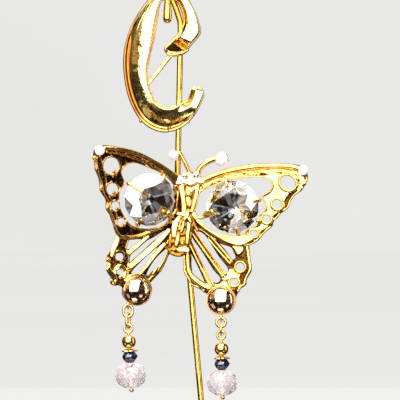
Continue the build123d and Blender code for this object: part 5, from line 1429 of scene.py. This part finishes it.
# ------------------------------------------------------------------ hanging drops
DROP = {-1: dict(ring=(1.17, 0.87), link=1.43, turn=25, shift=0.0, tilt=3.0),
        1: dict(ring=(0.90, 0.90), link=1.10, turn=0, shift=0.15, tilt=1.5)}


def oval_pts(h, w, n=14):
    """centre line of a hanging oval: x, z with the top wire at z = 0"""
    s = h - w
    out = []
    for i in range(n + 1):
        a = math.pi * i / n
        out.append((w * math.cos(a), -w + w * math.sin(a)))
    for i in range(n + 1):
        a = math.pi + math.pi * i / n
        out.append((w * math.cos(a), -w - 2 * s + w * math.sin(a)))
    res = [out[0]]
    for p in out[1:]:
        if math.hypot(p[0] - res[-1][0], p[1] - res[-1][1]) > 1e-4:
            res.append(p)
    if math.hypot(res[0][0] - res[-1][0], res[0][1] - res[-1][1]) < 1e-4:
        res.pop()
    return res


def facet(mat, rings, n):
    """faceted bead with a bore. rings: (radius, height, phase) from top to bottom; same phase makes quads, half a step makes triangles"""
    pts, faces = [], []
    rows = []
    for r, z, ph in rings:
        rows.append(list(range(len(pts), len(pts) + n)))
        for k in range(n):
            a = 2 * math.pi * (k + ph) / n
            pts.append(mat @ Vector((r * math.cos(a), r * math.sin(a), z)))
    m = len(rows)
    for i in range(m):
        a, b = rows[i], rows[(i + 1) % m]
        pa, pb = rings[i][2], rings[(i + 1) % m][2]
        for k in range(n):
            k1 = (k + 1) % n
            if abs(pa - pb) < 1e-6:
                faces.append((a[k], a[k1], b[k1], b[k]))
            elif pb > pa:
                faces.append((a[k], a[k1], b[k]))
                faces.append((a[k1], b[k1], b[k]))
            else:
                faces.append((a[k], b[k1], b[k]))
                faces.append((a[k], a[k1], b[k1]))
    return pts, faces


for side, nm in ((-1, "left"), (1, "right")):
    q = DROP[side]
    lx, lz = LUG[side]
    D = LUG_D[side]
    z1 = lz - 0.72 + 0.25 + 0.33 + 0.04
    z2 = z1 - 2 * q["ring"][0] + 0.33 + 0.30 + 0.04
    z3 = z2 - 2 * q["link"] + 0.60 + 0.04
    g = Geo()
    g.tube([P(lx + x, z1 + z, D) for x, z in oval_pts(*q["ring"])], 0.305, 18, True)
    ob = make(f"{nm}_jump_ring_wire", g.v, g.f, f"{nm}_jump_ring", M["chain"], [f"{nm}_jump_ring"])
    fix_normals(ob)
    g = Geo()
    t = math.radians(90 - q["turn"])
    g.tube([Vector((lx, -D, z2 + z)) + Vector((math.cos(t), math.sin(t), 0)) * x for x, z in oval_pts(q["link"], 0.72)], 0.258, 18, True, up=(-math.sin(t), math.cos(t), 0))
    ob = make(f"{nm}_oval_link_wire", g.v, g.f, f"{nm}_oval_link", M["chain"], [f"{nm}_oval_link"])
    fix_normals(ob)
    tl = math.radians(q["tilt"])
    mt = Matrix.Translation(Vector((lx, -D, z3))) @ Matrix.Rotation(-tl, 4, "Y")
    sh = q["shift"]
    zb = -1.56 - 0.30
    g1 = zb - 0.06 - sh
    g0 = g1 - 2.84
    c1 = g0 - 0.05
    k1 = c1 - 0.30
    k0 = k1 - 2.45
    p1 = k0 - 0.05
    p0 = p1 - 4.90
    e1 = p0 - 0.05
    # head pin: eye, neck, shaft, ball
    g = Geo()
    eye = oval_pts(0.78, 0.78, 20)
    g.tube([mt @ Vector((x, 0, z)) for x, z in eye], 0.25, 18, True, up=(0, -1, 0))
    g.tube([mt @ Vector((0, 0, -1.70)), mt @ Vector((0, 0, -1.9)), mt @ Vector((0, 0, e1 - 0.3))], [0.25, 0.25, 0.25], 16, up=(0, -1, 0))
    bm_ = mt @ Matrix.Translation(Vector((0, 0, e1 - 0.46)))
    g.lathe([(0.46 * math.cos(math.radians(a)), 0.46 * math.sin(math.radians(a))) for a in range(-84, 90, 12)], bm_, 24, closed_profile=False)
    ob = make(f"{nm}_head_pin_wire", g.v, g.f, f"{nm}_head_pin", M["chain"], [f"{nm}_head_pin"])
    fix_normals(ob)
    # gold bead
    g = Geo()
    gm = (g0 + g1) / 2
    pr = [(0.31, gm - 1.32)]
    for i in range(1, 24):
        a = math.radians(-77 + 154 * (i - 1) / 22)
        pr.append((1.41 * math.cos(a), gm + 1.41 * math.sin(a)))
    pr.append((0.31, gm + 1.32))
    g.lathe(pr, mt, 48)
    ob = make(f"{nm}_gold_bead_round", g.v, g.f, f"{nm}_gold_bead", M["bead_gold"], [f"{nm}_gold_bead"])
    fix_normals(ob)
    # petal cap
    g = Geo()
    seg = 60

    def petal(a):
        return abs(math.cos(2.5 * a))
    rows = [(0.31, 0.0, 0), (0.55, -0.01, 0), (0.85, -0.03, 0.1), (1.15, -0.12, 0.35), (1.45, -0.26, 0.7), (1.68, -0.44, 1.0), (1.66, -0.56, 1.0), (1.42, -0.42, 0.7), (1.12, -0.29, 0.35), (0.80, -0.21, 0.1), (0.5, -0.19, 0), (0.31, -0.19, 0)]
    rings = []
    for r, z, w in rows:
        ring = []
        for j in range(seg):
            a = 2 * math.pi * j / seg
            cut = 0.34 * w * (1 - petal(a)) ** 1.5
            ring.append(mt @ Vector(((r - cut) * math.cos(a), (r - cut) * math.sin(a), c1 + z + 0.10 * w * (petal(a) - 0.5))))
        rings.append(ring)
    g.rings(rings, closed=True)
    ob = make(f"{nm}_bead_cap_petals", g.v, g.f, f"{nm}_bead_cap", M["cap_gold"], [f"{nm}_bead_cap"])
    fix_normals(ob)
    # dark faceted bead
    km = (k0 + k1) / 2
    pts, f = facet(mt, [(0.31, k1 - 0.01, 0), (0.58, k1, 0), (1.20, km + 0.72, 0.5), (1.585, km + 0.05, 0), (1.585, km - 0.05, 0), (1.22, km - 0.68, 0.5), (0.72, k0, 0), (0.31, k0 + 0.01, 0)], 9)
    ob = make(f"{nm}_dark_bead_cut", pts, f, f"{nm}_dark_bead", M["dark"], [f"{nm}_dark_bead"], smooth=False)
    fix_normals(ob)
    # pink faceted bead
    pm = (p0 + p1) / 2 + 0.05
    pts, f = facet(mt, [(0.31, p1 - 0.01, 0), (1.40, p1, 0), (2.62, pm + 1.58, 0.5), (3.12, pm + 0.52, 0), (3.12, pm - 0.52, 0.5), (2.62, pm - 1.62, 0), (1.40, p0, 0.5), (0.31, p0 + 0.01, 0.5)], 12)
    ob = make(f"{nm}_pink_bead_cut", pts, f, f"{nm}_pink_bead", M["pink"], [f"{nm}_pink_bead"], smooth=False)
    fix_normals(ob)

# ------------------------------------------------------------------ camera
cam_data = bpy.data.cameras.new("camera")
cam = bpy.data.objects.new("camera", cam_data)
COL.objects.link(cam)
SC.camera = cam
cam_data.sensor_width = 36.0
cam_data.lens = 250.0
cam_data.dof.use_dof = False
dist = 0.080 / 36.0 * 250.0
cam.location = (-0.000751, -(dist + 0.0025), 0.046)
cam.rotation_euler = (math.radians(90), 0, 0)
cam_data.clip_start, cam_data.clip_end = 0.01, 20.0


# ------------------------------------------------------------------ stage and light
def plain(name, col, rough, emit, own=(0.27, 0.30)):
    m, nt, b = node_mat(name)
    co = nt.nodes.new("ShaderNodeTexCoord").outputs["Object"]
    n1 = tex_noise(nt, 2.0, 2, 0.5, co)
    r1 = ramp(nt, n1.outputs["Fac"], [(0.3, tuple(c * 0.985 for c in col)), (0.7, col)])
    r2 = ramp(nt, n1.outputs["Fac"], [(0.3, tuple(c * own[0] for c in col)), (0.7, tuple(c * own[1] for c in col))])
    nt.links.new(r2.outputs["Color"], b.inputs["Base Color"])
    nt.links.new(r1.outputs["Color"], b.inputs["Emission Color"])
    b.inputs["Emission Strength"].default_value = emit
    b.inputs["Roughness"].default_value = rough
    b.inputs["Specular IOR Level"].default_value = 0.0
    return m


Mstage = plain("studio_pale", (0.82, 0.82, 0.81), 0.9, 0.74)
Mfloor = plain("studio_floor_pale", (0.80, 0.80, 0.79), 0.9, 0.925, (0.09, 0.10))
floor_z = CAD_BOX[0][2] * 1000 - 0.3
bm = bmesh.new()
bmesh.ops.create_circle(bm, cap_ends=True, segments=64, radius=4.2)
me = bpy.data.meshes.new("studio_floor")
bm.to_mesh(me)
bm.free()
me.materials.append(Mfloor)
fl = bpy.data.objects.new("studio_floor", me)
fl.location = (0, 0, floor_z * MM)
COL.objects.link(fl)
bm = bmesh.new()
bmesh.ops.create_uvsphere(bm, u_segments=64, v_segments=32, radius=4.2)
bmesh.ops.reverse_faces(bm, faces=bm.faces)
me = bpy.data.meshes.new("studio_backdrop")
bm.to_mesh(me)
bm.free()
for p in me.polygons:
    p.use_smooth = True
me.materials.append(Mstage)
bd = bpy.data.objects.new("studio_backdrop", me)
COL.objects.link(bd)
for o in (fl, bd):
    o.visible_glossy = False
    o.visible_transmission = False
    o.visible_shadow = False
fl.visible_shadow = False

w = bpy.data.worlds.new("studio_world")
SC.world = w
w.use_nodes = True
nt = w.node_tree
nt.nodes.clear()
wo = nt.nodes.new("ShaderNodeOutputWorld")
bg = nt.nodes.new("ShaderNodeBackground")
nt.links.new(bg.outputs[0], wo.inputs[0])
tc = nt.nodes.new("ShaderNodeTexCoord")
wn = tex_noise(nt, 2.2, 3, 0.6, tc.outputs["Generated"], 0.6)
wr = ramp(nt, wn.outputs["Fac"], [(0.38, (0.004, 0.003, 0.002)), (0.52, (0.04, 0.034, 0.026)), (0.64, (0.22, 0.19, 0.15)), (0.76, (0.50, 0.46, 0.40))])
sep = nt.nodes.new("ShaderNodeSeparateXYZ")
nt.links.new(tc.outputs["Generated"], sep.inputs[0])
mr = nt.nodes.new("ShaderNodeMapRange")
mr.inputs["From Min"].default_value = -0.1
mr.inputs["From Max"].default_value = 0.7
mr.inputs["To Min"].default_value = 1.0
mr.inputs["To Max"].default_value = 0.25
nt.links.new(sep.outputs[1], mr.inputs["Value"])
wm = nt.nodes.new("ShaderNodeMix")
wm.data_type = "RGBA"
wm.blend_type = "MULTIPLY"
wm.inputs[0].default_value = 1.0
nt.links.new(wr.outputs["Color"], wm.inputs[6])
nt.links.new(mr.outputs[0], wm.inputs[7])
nt.links.new(wm.outputs[2], bg.inputs["Color"])
bg.inputs["Strength"].default_value = 1.0

TARGET = Vector((-0.001, -0.003, 0.045))


def soft(name, az, el, dist, sx, sy, power, col=(1, 1, 1)):
    """rectangular soft light. az 0 is the camera's side, + to the right; el up"""
    L = bpy.data.lights.new(name, "AREA")
    L.shape = "RECTANGLE"
    L.size, L.size_y = sx, sy
    L.energy = power
    L.color = col
    o = bpy.data.objects.new(name, L)
    a, e = math.radians(az), math.radians(el)
    dr = Vector((math.sin(a) * math.cos(e), -math.cos(a) * math.cos(e), math.sin(e)))
    o.location = TARGET + dr * dist
    o.rotation_mode = "QUATERNION"
    o.rotation_quaternion = dr.to_track_quat("Z", "Y")
    o.visible_camera = False
    COL.objects.link(o)
    return o


def rad_power(rad, sx, sy):
    """power that gives a radiance"""
    return rad * sx * sy * math.pi


def softbox(name, az, el, half_az, half_el, rad, col=(1, 1, 1), dist=0.6):
    sx, sy = 2 * dist * math.tan(math.radians(half_az)), 2 * dist * math.tan(math.radians(half_el))
    return soft(name, az, el, dist, sx, sy, rad_power(rad, sx, sy), col)


softbox("key_softbox", -12, 27, 36, 36, 4.2, (1.0, 0.985, 0.96))
softbox("top_softbox", -8, 74, 30, 10, 9.0, (1.0, 0.99, 0.98))
softbox("left_fill", -74, 46, 15, 14.5, 0.95, (1.0, 0.80, 0.50), 0.7)
softbox("left_fill_low", -74, 19, 15, 12.5, 0.42, (1.0, 0.68, 0.32), 0.7)
softbox("low_left", -80, -36, 16, 13, 0.6, (1.0, 0.88, 0.66))
softbox("low_front", -22, -68, 15, 10, 2.6, (1.0, 0.96, 0.92))
softbox("right_strip", 78, 8, 9, 26, 2.2, (1.0, 0.96, 0.92))
softbox("low_right", 45, -38, 9, 8, 1.6, (1.0, 0.78, 0.72))
softbox("back_left", -148, 46, 18, 18, 0.9)
softbox("back_right", 148, 46, 18, 18, 0.9)
bk = softbox("back_key", 180, 16, 32, 30, 1.0, (1.0, 0.92, 0.78), 0.7)
bk.visible_transmission = False

SC.view_settings.view_transform = "Standard"
SC.view_settings.look = "None"
SC.view_settings.exposure = 0.0
SC.view_settings.gamma = 1.0
